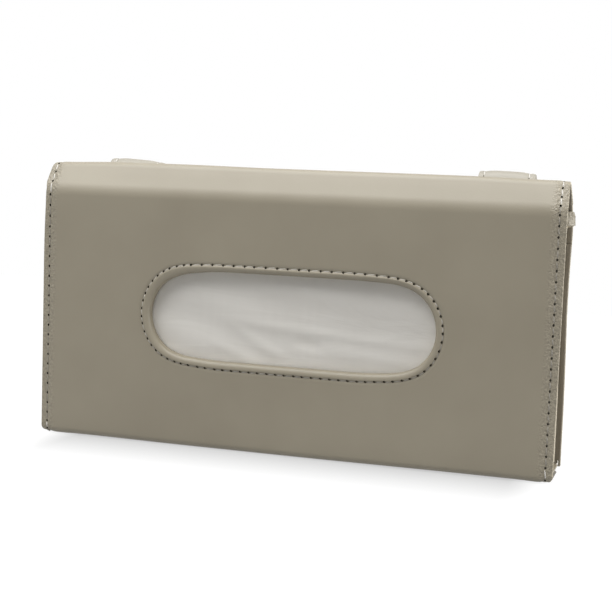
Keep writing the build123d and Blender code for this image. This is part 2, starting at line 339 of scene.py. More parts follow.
def threadShape():
    # a short thread, thinner and lower where it enters the leather
    bpy.ops.mesh.primitive_cylinder_add(vertices=8, radius=0.5, depth=1, rotation=(0, math.pi / 2, 0))
    thread = namePiece("threadShape")
    settle(thread)
    addLoops(thread, 0, (-0.3, 0.0, 0.3))
    pick(thread, lambda vertex: abs(vertex.co.x) > stitch["endsFrom"])
    bpy.ops.transform.resize(value=stitch["endNarrow"])
    bpy.ops.transform.translate(value=(0, 0, stitch["endDrop"]))
    done()
    pick(thread, lambda vertex: stitch["endsFrom"] / 2 < abs(vertex.co.x) < stitch["endsFrom"])
    bpy.ops.transform.translate(value=(0, 0, stitch["shoulderDrop"]))
    done()
    return thread


def pitShape():
    # what a needle leaves: a narrow hole, tighter at its bottom
    bpy.ops.mesh.primitive_cylinder_add(vertices=10, radius=0.5, depth=1)
    pit = namePiece("pitShape")
    pick(pit, lambda vertex: vertex.co.z < 0)
    bpy.ops.transform.resize(value=stitch["pitNarrow"])
    done()
    return pit


def seatMatrix(place, along, outward, size, slant=0.0):
    along = along.normalized()
    outward = (outward - along * outward.dot(along)).normalized()
    turned = Matrix((along, outward.cross(along), outward)).transposed().to_4x4()
    turned = turned @ Matrix.Rotation(math.radians(slant), 4, "Z")
    return Matrix.Translation(place) @ turned @ Matrix.Diagonal((*size, 1))


def copiesAt(shape, matrices, name):
    copies = []
    for matrix in matrices:
        copy = shape.copy()
        copy.data = shape.data.copy()
        copy.data.transform(matrix)
        copy.matrix_world = Matrix.Identity(4)
        bpy.context.scene.collection.objects.link(copy)
        copies.append(copy)
    bpy.data.objects.remove(shape)
    return joinAll(copies, name)


def makeThreads(name, seats, material):
    # seats: (place, along, outward, length)
    draw = random.Random(name)
    matrices = []
    for place, along, outward, length in seats:
        size = (length, stitch["width"], stitch["height"])
        slant = stitch["slant"] + draw.uniform(-stitch["slantSpread"], stitch["slantSpread"])
        lifted = place + outward.normalized() * stitch["lift"]
        matrices.append(seatMatrix(lifted, along, outward, size, slant))
    threads = copiesAt(threadShape(), matrices, name)
    setMaterials(threads, material)
    smooth(threads, 60)
    return threads


def cutPits(piece, seats, scale=1.0):
    # seats: (place, along, outward)
    size = (stitch["pitLength"] * scale, stitch["pitWidth"] * scale, stitch["pitDepth"] * 2)
    matrices = [seatMatrix(*seat, size) for seat in seats]
    pits = copiesAt(pitShape(), matrices, piece.name + "Pits")
    # the holes' walls take a near-black material: painted shade deep in the holes
    setMaterials(pits, needleHoleShade)
    cutAway(piece, pits)


def betweenHoles(holes):
    # one thread from each hole to the next, lifted where it runs over a bend
    seats = []
    for (place, _, outward), (nextPlace, _, nextOutward) in zip(holes, holes[1:]):
        gap = nextPlace - place
        facing = (outward + nextOutward).normalized()
        lift = gap.length / 2 * math.tan(outward.angle(nextOutward) / 4)
        lift = math.copysign(lift, (nextOutward - outward).dot(gap))
        middle = (place + nextPlace) / 2 + facing * lift
        seats.append((middle, gap, facing, gap.length * stitch["share"]))
    return seats


# Materials
def feed(tree, socket, value):
    # a socket takes another socket or a plain value
    if isinstance(value, bpy.types.NodeSocket):
        tree.links.new(value, socket)
    else:
        socket.default_value = value


def addNode(tree, kind, **values):
    node = tree.nodes.new(kind)
    for key, value in values.items():
        if key in node.inputs:
            feed(tree, node.inputs[key], value)
        else:
            setattr(node, key, value)
    return node


def compute(tree, operation, *values, kind="ShaderNodeMath", result=0):
    node = addNode(tree, kind, operation=operation)
    for socket, value in zip(node.inputs, values):
        feed(tree, socket, value)
    return node.outputs[result]


def mapRange(tree, value, ends, span=(0.0, 1.0)):
    # from a span of the value to the ends
    node = addNode(tree, "ShaderNodeMapRange", Value=value)
    for key, setting in zip(("From Min", "From Max", "To Min", "To Max"), (*span, *ends)):
        node.inputs[key].default_value = setting
    return node.outputs["Result"]


def noise(tree, place, scale, detail=2.0, **more):
    node = addNode(tree, "ShaderNodeTexNoise", Vector=place, Scale=scale, Detail=detail, **more)
    return node.outputs["Fac"]


def mixColour(tree, factor, low, high, span=(0.0, 1.0)):
    ramp = addNode(tree, "ShaderNodeValToRGB", Fac=factor)
    for element, colour, position in zip(ramp.color_ramp.elements, (low, high), span):
        element.color = (*colour, 1)
        element.position = position
    return ramp.outputs["Color"]


def toned(colour, share):
    return tuple(value * share for value in colour)


def newMaterial(name, colour, roughness):
    material = bpy.data.materials.new(name)
    material.use_nodes = True
    tree = material.node_tree
    shader = tree.nodes["Principled BSDF"]
    shader.inputs["Base Color"].default_value = (*colour, 1)
    shader.inputs["Roughness"].default_value = roughness
    return material, tree, shader, tree.nodes.new("ShaderNodeTexCoord").outputs["Object"]


def dress(tree, shader, colour, layers):
    # layers: (height socket, strength, distance); each bump carries the one before
    tree.links.new(colour, shader.inputs["Base Color"])
    normal = None
    for height, strength, distance in layers:
        bump = addNode(tree, "ShaderNodeBump", Strength=strength, Distance=distance, Height=height)
        if normal:
            tree.links.new(normal, bump.inputs["Normal"])
        normal = bump.outputs["Normal"]
    tree.links.new(normal, shader.inputs["Normal"])


leatherLook = {
    "low": (0.280, 0.245, 0.177),
    "high": (0.317, 0.280, 0.205),
    "patchScale": 22.0,
    "patchSpan": (0.3, 0.7),
    "pebbleScale": 1500.0,
    "fineScale": 4200.0,
    "waveScale": 24.0,
    "wrinkleScale": 950.0,
    "wrinkledMargin": (107.8 * mm, 110.0 * mm),
    # colour factors in the wrinkles' hollows and on their crests: painted shade and painted light
    "wrinkleShadeAndLight": (0.5, 1.5),
    "wrinkleBump": (1.0, 0.6 * mm),
    "waveBump": (0.25, 0.6 * mm),
    "pebbleBump": (0.22, 0.05 * mm),
    "fineBump": (0.18, 0.03 * mm),
    "roughness": (0.42, 0.56),
    "specular": 0.8,
}


def makeLeather(name, look, tone=1.0):
    low, high = toned(look["low"], tone), toned(look["high"], tone)
    material, tree, shader, place = newMaterial(name, low, 0.5)
    shader.inputs["Specular IOR Level"].default_value = look["specular"]
    patches = noise(tree, place, look["patchScale"], 3.0)
    fine = noise(tree, place, look["fineScale"])
    wave = noise(tree, place, look["waveScale"], 1.0)
    wrinkles = noise(tree, place, look["wrinkleScale"], 3.0)
    pebbles = addNode(tree, "ShaderNodeTexVoronoi", Vector=place, Scale=look["pebbleScale"])
    # the stitched margins at both sides are wrinkled, with painted shade in the wrinkles' hollows and
    # painted light on their crests
    across = addNode(tree, "ShaderNodeSeparateXYZ", Vector=place).outputs["X"]
    margin = mapRange(tree, compute(tree, "ABSOLUTE", across), (0.0, 1.0), look["wrinkledMargin"])
    puckers = compute(tree, "MULTIPLY", compute(tree, "SUBTRACT", wrinkles, 0.5), margin)
    paintedShade, paintedLight = ((value,) * 3 for value in look["wrinkleShadeAndLight"])
    colour = mixColour(tree, patches, low, high, look["patchSpan"])
    tint = addNode(tree, "ShaderNodeMix", data_type="RGBA", blend_type="MULTIPLY")
    for index, socket in ((0, margin), (6, colour), (7, mixColour(tree, wrinkles, paintedShade, paintedLight))):
        tree.links.new(socket, tint.inputs[index])
    tree.links.new(mapRange(tree, fine, look["roughness"]), shader.inputs["Roughness"])
    layers = (
        (wave, *look["waveBump"]),
        (puckers, *look["wrinkleBump"]),
        (pebbles.outputs["Distance"], *look["pebbleBump"]),
        (fine, *look["fineBump"]),
    )
    dress(tree, shader, tint.outputs[2], layers)
    return material


threadLook = {
    "roughness": 0.6,
    "twist": 900.0,
    "distortion": 1.5,
    "fuzz": 2500.0,
    "sheen": 0.3,
    "shade": 0.8,
    "bump": (0.6, 0.06 * mm),
}


def makeThreadMaterial(name, colour):
    material, tree, shader, place = newMaterial(name, colour, threadLook["roughness"])
    twist = addNode(
        tree,
        "ShaderNodeTexWave",
        Vector=place,
        Scale=threadLook["twist"],
        Distortion=threadLook["distortion"],
        bands_direction="DIAGONAL",
    )
    shader.inputs["Sheen Weight"].default_value = threadLook["sheen"]
    shaded = toned(colour, threadLook["shade"])
    tint = mixColour(tree, noise(tree, place, threadLook["fuzz"]), shaded, colour)
    dress(tree, shader, tint, ((twist.outputs["Fac"], *threadLook["bump"]),))
    return material


def makeCloth(name, colour, scale, roughness=0.9, sheen=0.25):
    # brushed backing, board or thread-bare cloth: a soft nap; also the near-black painted shade inside the
    # needle holes
    material, tree, shader, place = newMaterial(name, colour, roughness)
    shader.inputs["Sheen Weight"].default_value = sheen
    tint = mixColour(tree, noise(tree, place, scale / 30), toned(colour, 0.86), colour)
    dress(tree, shader, tint, ((noise(tree, place, scale, 4.0), 0.5, 0.12 * mm),))
    return material


paperLook = {
    "colour": (0.86, 0.835, 0.78),
    "low": (0.83, 0.80, 0.745),
    "high": (0.90, 0.875, 0.82),
    "roughness": 0.85,
    "fibreScale": 900.0,
    "cloudScale": 45.0,
    "creaseTurn": -10,
    "creaseScale": (16, 1, 75),
    "scatter": 0.15,
    "scatterRadius": (2 * mm, 2 * mm, 2 * mm),
    "creaseBump": (0.3, 1.2 * mm),
    "fibreBump": (0.25, 0.06 * mm),
}


def makeTissuePaper(name):
    material, tree, shader, place = newMaterial(name, paperLook["colour"], paperLook["roughness"])
    fibres = noise(tree, place, paperLook["fibreScale"], 5.0, Roughness=0.7)
    clouds = noise(tree, place, paperLook["cloudScale"], 3.0)
    # long faint creases that run down to the right
    turn = (0, math.radians(paperLook["creaseTurn"]), 0)
    lay = addNode(
        tree, "ShaderNodeMapping", Vector=place, Rotation=turn, Scale=paperLook["creaseScale"]
    )
    creases = noise(tree, lay.outputs["Vector"], 1.0, 3.0, Distortion=1.2)
    shader.inputs["Subsurface Weight"].default_value = paperLook["scatter"]
    shader.inputs["Subsurface Radius"].default_value = paperLook["scatterRadius"]
    layers = ((creases, *paperLook["creaseBump"]), (fibres, *paperLook["fibreBump"]))
    dress(tree, shader, mixColour(tree, clouds, paperLook["low"], paperLook["high"]), layers)
    return material


def makeMetal(name, colour, roughness):
    material, tree, shader, place = newMaterial(name, colour, roughness)
    shader.inputs["Metallic"].default_value = 1.0
    wear = noise(tree, place, 700.0, 3.0)
    dress(tree, shader, mixColour(tree, wear, toned(colour, 0.7), colour), ((wear, 0.15, 0.03 * mm),))
    return material


leather = makeLeather("taupeLeather", leatherLook)
# cut edges: paler for the leather's pale core, and paler still as a painted highlight where they catch the
# top and side lamps
edgeCoreAndHighlight = makeLeather("cutEdgeCoreAndHighlight", leatherLook, 1.65)
gussetLook = {**leatherLook, "wrinkleShadeAndLight": (1.0, 1.0), "wrinkleBump": (1.0, 0.1 * mm)}
# the case's leather made 1.4 times lighter: painted light on the gusset leaves that lie in the crown's
# shade
gussetLeatherPaintedLight = makeLeather("gussetLeatherPaintedLight", gussetLook, 1.4)
# lighter and less yellow than the case's leather: partly a different leather, partly painted light and
# sheen where the straps' bends face the top lamp
strapLook = {**leatherLook, "low": (0.31, 0.284, 0.23), "high": (0.342, 0.316, 0.257)}
strapLeather = makeLeather("strapLeather", strapLook)
backing = makeCloth("brushedBacking", (0.25, 0.22, 0.17), 1800.0)
boardCard = makeCloth("greyBoard", (0.22, 0.18, 0.13), 900.0, 0.95)
frontThread = makeThreadMaterial("frontThread", (0.36, 0.33, 0.275))
# paler than the side rows' thread: partly its own colour, partly painted light against the bead's shade
# over the groove it lies in
windowThread = makeThreadMaterial("windowThread", (0.60, 0.57, 0.505))
# used for the hems, straps, anchors and back rows; on the crown and the bottom fold it is a lit copy of the
# side rows' thread: painted light
paleThread = makeThreadMaterial("paleThread", (0.80, 0.77, 0.71))
# near black: painted shade inside the needle holes
needleHoleShade = makeCloth("needleHoleShade", (0.010, 0.008, 0.006), 3000.0, 1.0, 0.0)
needleHoleShade.node_tree.nodes["Principled BSDF"].inputs["Specular IOR Level"].default_value = 0.0
tissuePaper = makeTissuePaper("tissuePaper")
tissueEdges = makeTissuePaper("tissueEdges")
snapMetal = makeMetal("snapMetal", (0.50, 0.48, 0.45), 0.32)
magnetMetal = makeMetal("magnetMetal", (0.75, 0.76, 0.78), 0.3)

slotLooks = {
    "leather": leather,
    "lining": backing,
    "strap_backing": strapLeather,
    "board": boardCard,
    "thread": frontThread,
    "magnet": magnetMetal,
    "snap_metal": snapMetal,
    "tissue": tissuePaper,
}
nodeSlots = {entry["node"]: entry["material_slot"] for entry in frame["record"]["subparts"]}
for nodeName, node in frame["nodes"].items():
    setMaterials(node, slotLooks[nodeSlots[nodeName]])
print("materials made")


# Cover: one sheet from the lip, under the fold, up the front, over the crease and the crown's ridge
skin = {
    "thickness": 1.0 * mm,
    "foldRadius": 3.0 * mm,
    "creaseRadius": 11.0 * mm,
    "ridgeRadius": 4.5 * mm,
    "shoulderRadius": 13.0 * mm,
    "peak": (9.2 * mm, 14.3 * mm),
    "shoulderDrop": 8.3 * mm,
    "seamShare": 0.52,
    "cornerRadius": 3.0 * mm,
    "lipCorner": 8.0 * mm,
    "lipNarrower": 0.8 * mm,
    "creaseBlend": 1.9 * mm,
    "columnInsets": (0.7, 1.4, 2.0, 2.5, 3.0, 3.5, 4.0, 4.8, 5.8, 7.0, 9.0, 12.0, 16.0),
    "edgeRound": 0.34 * mm,
    "edgeDrop": 0.32 * mm,
    "edgeDropWidth": 3.4 * mm,
    "stitchInset": 3.0 * mm,
    "grooveDepth": 0.26 * mm,
    "grooveSpread": 0.75 * mm,
    "ridgeInset": 6.2 * mm,
    "ridgeSpread": 1.4 * mm,
    "ridgeHeight": 0.05 * mm,
}
# how the soft sheet departs from its plan
foldWear = {
    "lift": 0.3 * mm,
    "liftSpan": (0, 80 * mm),
    "liftRight": 0.15 * mm,
    "rightSpan": (8 * mm, 15 * mm),
    "wave": 0.2 * mm,
    "waveSpan": (-90 * mm, -50 * mm),
    "wavePin": -105 * mm,
    "wavePinSpread": 4.5 * mm,
    "low": 9 * mm,
    "front": (3 * mm, 12 * mm),
    "behind": (1 * mm, 9 * mm),
    "lipSpan": 100 * mm,
}
crownWear = {
    "height": (2 * mm, 13 * mm),
    "swell": 0.9 * mm,
    "swellLeft": 35 * mm,
    "swellFade": 0.4,
    "fadeSpan": (-50 * mm, -10 * mm),
    "swellRight": (40 * mm, 5 * mm),
    "endReach": 9 * mm,
    "ends": {-1: 1.1 * mm, 1: 0.45 * mm},
    "leftDraw": 0.6 * mm,
    "leftDrawSpread": 15 * mm,
    "leftBulge": 1.0 * mm,
    "bulgeRise": 13.5 * mm,
}
sideWear = {
    "bow": 0.85 * mm,
    "bowReach": (14 * mm, 2 * mm),
    "bowHeight": 74 * mm,
    "bowSpread": 30 * mm,
    "backLift": 1.6 * mm,
    "backLiftFrom": 60 * mm,
    "backLiftHeight": 12 * mm,
}
peak = (creaseY + skin["peak"][0], creaseZ + skin["peak"][1])
shoulder = (backY, creaseZ - skin["shoulderDrop"])
seamAt = tuple(Vector(peak).lerp(Vector(shoulder), skin["seamShare"]))
coverPath = planPath(
    [(lipEndY, 0), (creaseY, 0), (creaseY, creaseZ), peak, seamAt],
    [skin["foldRadius"], skin["creaseRadius"], skin["ridgeRadius"]],
)
backPath = planPath([seamAt, shoulder, (backY, 0)], [skin["shoulderRadius"]])


def sideStations():
    stations = []
    for inset in skin["columnInsets"]:
        stations += [halfWidth - inset * mm, inset * mm - halfWidth]
    return stations + [x * mm for x in range(-90, 91, 10)]


def edgeDepth(place):
    # the stitches pull a shallow groove, and the sheet thins out to its edge
    inset = halfWidth - abs(place.x)
    groove = skin["grooveDepth"] * hill(inset, skin["stitchInset"], skin["grooveSpread"])
    edge = skin["edgeDrop"] * (1 - ease(inset, 0, skin["edgeDropWidth"]))
    return groove + edge - skin["ridgeHeight"] * hill(inset, skin["ridgeInset"], skin["ridgeSpread"])


def softenCrown(piece):
    # the crown swells a little, most at the left, and draws in at its ends
    low, high = crownWear["height"]
    rightFrom, rightTo = crownWear["swellRight"]
    for vertex in piece.data.vertices:
        place = vertex.co
        height = ease(place.z, creaseZ + low, creaseZ + high)
        swell = ease(place.x, -halfWidth, -halfWidth + crownWear["swellLeft"])
        swell *= 1 - crownWear["swellFade"] * ease(place.x, *crownWear["fadeSpan"])
        swell *= 1 - ease(place.x, halfWidth - rightFrom, halfWidth - rightTo)
        near = ease(abs(place.x), halfWidth - crownWear["endReach"], halfWidth)
        inward = crownWear["ends"][-1 if place.x < 0 else 1] * height
        if place.x < 0:
            inward += crownWear["leftDraw"] * hill(place.z, creaseZ, crownWear["leftDrawSpread"])
            up = clamp((place.z - creaseZ) / crownWear["bulgeRise"])
            inward -= crownWear["leftBulge"] * math.sin(math.pi * up)
        place.x -= math.copysign(inward * near, place.x)
        place.z += crownWear["swell"] * height * swell


def bowSide(place):
    # behind the cover the sides draw in at mid height, between the hems and the pocket
    start, end = sideWear["bowReach"]
    bow = sideWear["bow"] * hill(place.z, sideWear["bowHeight"], sideWear["bowSpread"])
    return math.copysign(bow * ease(abs(place.x), halfWidth - start, halfWidth - end), place.x)


def finishSkin(piece):
    applyModifier(piece, "SOLIDIFY", thickness=skin["thickness"], offset=-1, use_even_offset=True)
    roundRim(piece, rimFace, skin["edgeRound"], 2)


def rimFace(face):
    return abs(face.normal.x) > 0.9


def paleRims(piece):
    # the cut edge is paler: the leather's pale core, with a painted highlight where the edge catches the
    # lamps
    for face in piece.data.polygons:
        if abs(face.normal.x) > 0.75 and abs(face.center.x) > halfWidth - 2 * mm:
            face.material_index = 1


def foldRise(x):
    # the fold stands on its left end, waves there, and rises off the floor towards the right
    corner = ease(halfWidth - x, *foldWear["rightSpan"])
    rise = foldWear["lift"] * ease(x, *foldWear["liftSpan"]) * corner + foldWear["liftRight"] * (1 - corner)
    wave = 1 - hill(x, foldWear["wavePin"], foldWear["wavePinSpread"])
    return rise + foldWear["wave"] * wave * (1 - ease(x, *foldWear["waveSpan"]))


def roundLowCorner(place):
    # the lower corners of the front are cut round
    radius = skin["cornerRadius"]
    if place.z < radius and abs(place.x) > halfWidth - 3 * radius:
        inset = radius - math.sqrt(max(0, radius**2 - (radius - max(0, place.z)) ** 2))
        share = (abs(place.x) - (halfWidth - 3 * radius)) / (3 * radius)
        place.x -= math.copysign(inset * share, place.x)


def makeCoverSkin():
    piece = sheetAlong("coverSkin", coverPath, -halfWidth, halfWidth, 5 * mm, 0.55 * mm)
    pick(piece, lambda vertex: vertex.co.y > lipEndY - 0.1 * mm and vertex.co.z < 0.1 * mm)
    bpy.ops.mesh.bevel(offset=skin["lipCorner"], segments=6, affect="VERTICES")
    done()
    addLoops(piece, 0, sideStations())
    faceTowards(piece, (0, creaseY, 0.08), (0, -1, 0))
    press(piece, edgeDepth)
    for vertex in piece.data.vertices:
        place = vertex.co
        roundLowCorner(place)
        low = 1 - ease(place.z, 0, foldWear["low"])
        front = 1 - ease(place.y - creaseY, *foldWear["front"])
        place.z += foldRise(place.x) * low * front
        behind = ease(place.y - creaseY, *foldWear["behind"])
        narrower = skin["lipNarrower"] * low * behind * ease(abs(place.x), foldWear["lipSpan"], halfWidth)
        place.x -= math.copysign(narrower, place.x)
    softenCrown(piece)
    finishSkin(piece)
    return piece


def makeBackSkin():
    piece = sheetAlong("backSkin", backPath, -halfWidth, halfWidth, 6 * mm, 1.2 * mm)
    addLoops(piece, 0, sideStations())
    faceTowards(piece, (0, backY, 0.05), (0, 1, 0))
    press(piece, edgeDepth)
    softenCrown(piece)
    for vertex in piece.data.vertices:
        place = vertex.co
        place.x -= bowSide(place)
        lift = ease(place.x, sideWear["backLiftFrom"], halfWidth)
        place.z += sideWear["backLift"] * lift * (1 - ease(place.z, 0, sideWear["backLiftHeight"]))
    finishSkin(piece)
    return piece


# Window
window = {
    "length": 126.0 * mm,
    "height": 38.2 * mm,
    "segments": 96,
    "sheetEdge": 6.0 * mm,
    "stitchOffset": 3.6 * mm,
    "grooveDepth": 0.35 * mm,
    "grooveSteps": ((1.0, 0.12), (0.6, 0.5), (0.28, 0.88), (0, 1)),
    "beadCrest": 2.5 * mm,
    "beadProud": 0.38 * mm,
    "beadFlank": 1.55 * mm,
    "rear": ((0, 3.8), (0.3, 4.0), (5.8, 4.0), (5.8, 3.1), (2.2, 3.1), (2.2, 1.0)),
}
# how the sewn window departs from its plan
sewn = {
    "higher": 0.34 * mm,
    "cornerAt": 48.0 * mm,
    "cornerSpread": 10.0 * mm,
    "cornerInTop": 0.75 * mm,
    "cornerInBottom": 1.15 * mm,
    "rightStretch": 1.0 * mm,
    "stretchSpan": (40 * mm, 66 * mm),
    "narrowRight": 0.45 * mm,
    "wideTopLeft": 1.3 * mm,
    "wideAt": -52 * mm,
    "wideSpread": 13 * mm,
    "topDrop": -0.6 * mm,
    "bottomDrop": 0.25 * mm,
}
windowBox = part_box("window_binding")
windowCentre = Vector((0, creaseY, (windowBox[0].z + windowBox[1].z) / 2))
windowRadius = window["height"] / 2
windowReach = (window["length"] - window["height"]) / 2


def stretchHalves(piece):
    # pulls the two halves of a round form apart, which leaves straight sides between them
    for side in (-1, 1):
        pick(piece, lambda vertex: vertex.co.x * side > 0)
        bpy.ops.transform.translate(value=(side * windowReach, 0, 0))
    done()


def sewnPlace(place):
    # the real window is sewn by hand: tighter at its corners, a little longer to the right
    out = place.z - windowCentre.z
    inward = sewn["cornerInTop" if out > 0 else "cornerInBottom"]
    inward *= hill(abs(place.x), sewn["cornerAt"], sewn["cornerSpread"])
    rise = sewn["higher"] - inward * out / (windowRadius + window["stitchOffset"])
    along = sewn["rightStretch"] * ease(place.x, *sewn["stretchSpan"])
    return Vector((place.x + along, place.y, place.z + rise))


def sewnShape(piece):
    addLoops(piece, 0, [x * mm for x in range(-40, 41, 5)])
    for vertex in piece.data.vertices:
        vertex.co = sewnPlace(vertex.co)


def pullEdge(piece):
    # the turned edge is narrow at the right and wide at the top left
    for vertex in piece.data.vertices:
        place = vertex.co
        middle = Vector((max(-windowReach, min(windowReach, place.x)), place.y, windowCentre.z))
        outward = place - middle
        inner = 1 - ease(outward.length - windowRadius, 0.8 * mm, window["stitchOffset"] - 0.4 * mm)
        outward.normalize()
        right = max(0, outward.x) ** 2 if place.x > 0 else 0
        corner = hill(place.x, sewn["wideAt"], sewn["wideSpread"]) * max(0, outward.z)
        shift = sewn["narrowRight"] * right - sewn["wideTopLeft"] * corner
        drop = abs(outward.z) * sewn["topDrop" if outward.z > 0 else "bottomDrop"]
        vertex.co = place + (outward * shift - Vector((0, 0, drop))) * inner


def stadiumCutter(grow, low, high):
    bpy.ops.mesh.primitive_cylinder_add(
        vertices=window["segments"],
        radius=windowRadius + grow,
        depth=high - low,
        location=(0, (low + high) / 2, windowCentre.z),
        rotation=(math.pi / 2, math.pi / window["segments"], 0),
    )
    cutter = namePiece("windowCutter")
    settle(cutter)
    stretchHalves(cutter)
    recalculate(cutter)
    sewnShape(cutter)
    return cutter


def windowSection():
    # the turned leather in section: distance out from the opening, and depth from the front
    groove, proud = window["grooveDepth"], window["beadProud"]
    edge, crest, seam = window["sheetEdge"], window["beadCrest"], window["stitchOffset"]
    points = [(edge, 0), (edge - 0.9 * mm, 0)]
    points += [(seam + offset * mm, groove * share) for offset, share in window["grooveSteps"]]
    flank = seam - 0.1 * mm - crest
    for index in range(7):
        angle = math.pi / 2 * (index + 0.5) / 7
        points.append((crest + flank * math.cos(angle), groove - (groove + proud) * math.sin(angle)))
    for index in range(8):
        angle = math.pi / 2 * index / 7
        depth = (1 - math.cos(angle)) * (proud + window["beadFlank"]) - proud
        points.append((crest * (1 - math.sin(angle)), depth))
    points += [(out * mm, depth * mm) for out, depth in window["rear"]]
    return points + [(edge, skin["thickness"])]


def makeWindowRoll():
    # the section is drawn point by point from one corner of a plane, then spun round the window
    top = windowCentre.z + windowRadius
    places = [Vector((0, creaseY + depth, top + out)) for out, depth in windowSection()]
    bpy.ops.mesh.primitive_plane_add(size=1)
    piece = namePiece("windowRoll")
    pick(piece, lambda vertex: vertex.index > 0)
    bpy.ops.mesh.delete(type="VERT")
    done()
    piece.data.vertices[0].co = places[0]
    pickAll(piece)
    for here, there in zip(places, places[1:]):
        bpy.ops.mesh.extrude_region_move(TRANSFORM_OT_translate={"value": there - here})
    bpy.ops.mesh.select_all(action="SELECT")
    bpy.ops.mesh.edge_face_add()
    bpy.ops.mesh.delete(type="ONLY_FACE")
    bpy.ops.mesh.select_all(action="SELECT")
    count = window["segments"]
    bpy.ops.mesh.spin(steps=1, angle=math.pi / count, center=windowCentre, axis=(0, 1, 0))
    done()
    pick(piece, lambda vertex: abs(vertex.co.x) < 0.001 * mm)
    bpy.ops.mesh.delete(type="VERT")
    bpy.ops.mesh.select_all(action="SELECT")
    bpy.ops.mesh.spin(steps=count, angle=math.tau, center=windowCentre, axis=(0, 1, 0))
    done()
    recalculate(piece)
    stretchHalves(piece)
    sewnShape(piece)
    pullEdge(piece)
    return piece


def ovalPoint(share, offset):
    # place and direction on the stadium outline at an offset, by a share of its four sides:
    # top, right, bottom, left
    radius = windowRadius + offset
    side, part = int(share) % 4, share % 1
    if side in (0, 2):
        sign = 1 if side == 0 else -1
        x = sign * (2 * part - 1) * windowReach
        return Vector((x, creaseY, windowCentre.z + sign * radius)), Vector((sign, 0, 0))
    sign = 1 if side == 1 else -1
    out, up = math.sin(math.pi * part), math.cos(math.pi * part)
    place = Vector((sign * (windowReach + radius * out), creaseY, windowCentre.z + sign * radius * up))
    return place, Vector((sign * up, 0, -sign * out))


# stitches on the window's four sides, and how unevenly they lie
ovalRow = {"counts": (18, 20, 22, 21), "uneven": 0.06, "seed": 5, "doubled": (-11 * mm, 0)}


def windowHoles():
    holes = []
    draw = random.Random(ovalRow["seed"])
    for side, count in enumerate(ovalRow["counts"]):
        for index in range(count):
            share = side + (index + draw.uniform(-ovalRow["uneven"], ovalRow["uneven"])) / count
            place, along = ovalPoint(share % 4, window["stitchOffset"])
            along = sewnPlace(place + along * mm) - sewnPlace(place - along * mm)
            place = sewnPlace(place)
            place.y += window["grooveDepth"]
            holes.append((place, along, Vector((0, -1, 0))))
    return holes


coverSkin = makeCoverSkin()
print("cover skin bent", len(coverSkin.data.polygons))
windowRoll = makeWindowRoll()
cutAway(coverSkin, stadiumCutter(window["sheetEdge"], creaseY - 2 * mm, creaseY + 4 * mm))
print("window cut")


# Rows of stitches along both sides, in millimetres; the pitch is uneven near both ends of a row
rows = {
    -1: {"first": 0.5, "pitch": 4.41, "count": 25, "low": 1.2, "high": 1.1, "highSpan": (92, 107)},
    1: {"first": 6.9, "pitch": 4.44, "count": 24, "low": -1.6, "high": -0.55, "highSpan": (62, 80)},
}
crownRows = {-1: (3.45, 4.9), 1: (1.95, 4.1)}
rowEnds = {"lowSpan": 9, "crownEnd": 1.5 * mm}
backRow = {"first": 2.2 * mm, "pitch": 4.4 * mm, "end": 4.0 * mm}
# heights above and below which the side rows' thread gets the paler copy: painted light on the crown and
# the bottom fold
paintedLightEnds = {"above": {-1: creaseZ - 1 * mm, 1: creaseZ + 1 * mm}, "below": 5 * mm}
foldEnd = pathLength(coverPath[:2])
creaseMiddle = pathLength(coverPath[:3]) + coverPath[3][-1] / 2


def pathSeat(steps, distance, x, sink):
    # a hole at a distance along a path, sunk into the show side
    (y, z), direction = pathPoint(steps, distance)
    outward = Vector((0, direction.y, -direction.x))
    if outward.dot(Vector((0, y, z - 0.055))) < 0:
        outward.negate()
    return Vector((x, y, z)) - outward * sink, Vector((0, direction.x, direction.y)), outward


def skinHoles(steps, side, distances):
    x = side * (halfWidth - skin["stitchInset"])
    return [pathSeat(steps, distance, x, skin["grooveDepth"]) for distance in distances]


def frontHoles(side):
    row = rows[side]
    distances = []
    for index in range(-1, row["count"]):
        height = row["first"] + row["pitch"] * index
        height += row["low"] * (1 - ease(height, 0, rowEnds["lowSpan"]))
        height += row["high"] * ease(height, *row["highSpan"])
        distances.append(foldEnd + height * mm - skin["foldRadius"])
    start, pitch = crownRows[side]
    distance = creaseMiddle + start * mm
    while distance < pathLength(coverPath) - rowEnds["crownEnd"]:
        distances.append(distance)
        distance += pitch * mm
    return skinHoles(coverPath, side, distances)


def backHoles(side):
    count = int((pathLength(backPath) - backRow["end"]) / backRow["pitch"])
    distances = [backRow["first"] + backRow["pitch"] * index for index in range(count + 1)]
    return skinHoles(backPath, side, distances)


backSkin = makeBackSkin()
print("back skin bent", len(backSkin.data.polygons))

frontRows = {side: frontHoles(side) for side in (-1, 1)}
backRows = {side: backHoles(side) for side in (-1, 1)}
ovalHoles = windowHoles()
for piece in (coverSkin, windowRoll, backSkin):
    setMaterials(piece, leather, edgeCoreAndHighlight)
paleRims(coverSkin)
paleRims(backSkin)
cutPits(coverSkin, frontRows[-1] + frontRows[1])
cutPits(backSkin, backRows[-1] + backRows[1])
cutPits(windowRoll, ovalHoles)
print("needle holes cut")

for piece in (coverSkin, windowRoll, backSkin):
    smooth(piece)

threadSets = {"frontRowThreads": [], "crownRowThreads": [], "backRowThreads": []}
for side in (-1, 1):
    for seat in betweenHoles(frontRows[side]):
        # the same thread is painted lighter on the crown and round the bottom fold: painted light
        paintedLight = seat[0].z > paintedLightEnds["above"][side] or seat[0].z < paintedLightEnds["below"]
        threadSets["crownRowThreads" if paintedLight else "frontRowThreads"].append(seat)
    threadSets["backRowThreads"] += betweenHoles(backRows[side])
rowThreads = {
    name: makeThreads(name, seats, frontThread if name == "frontRowThreads" else paleThread)
    for name, seats in threadSets.items()
}
windowThreads = makeThreads("windowThreads", betweenHoles(ovalHoles + ovalHoles[:1]), windowThread)
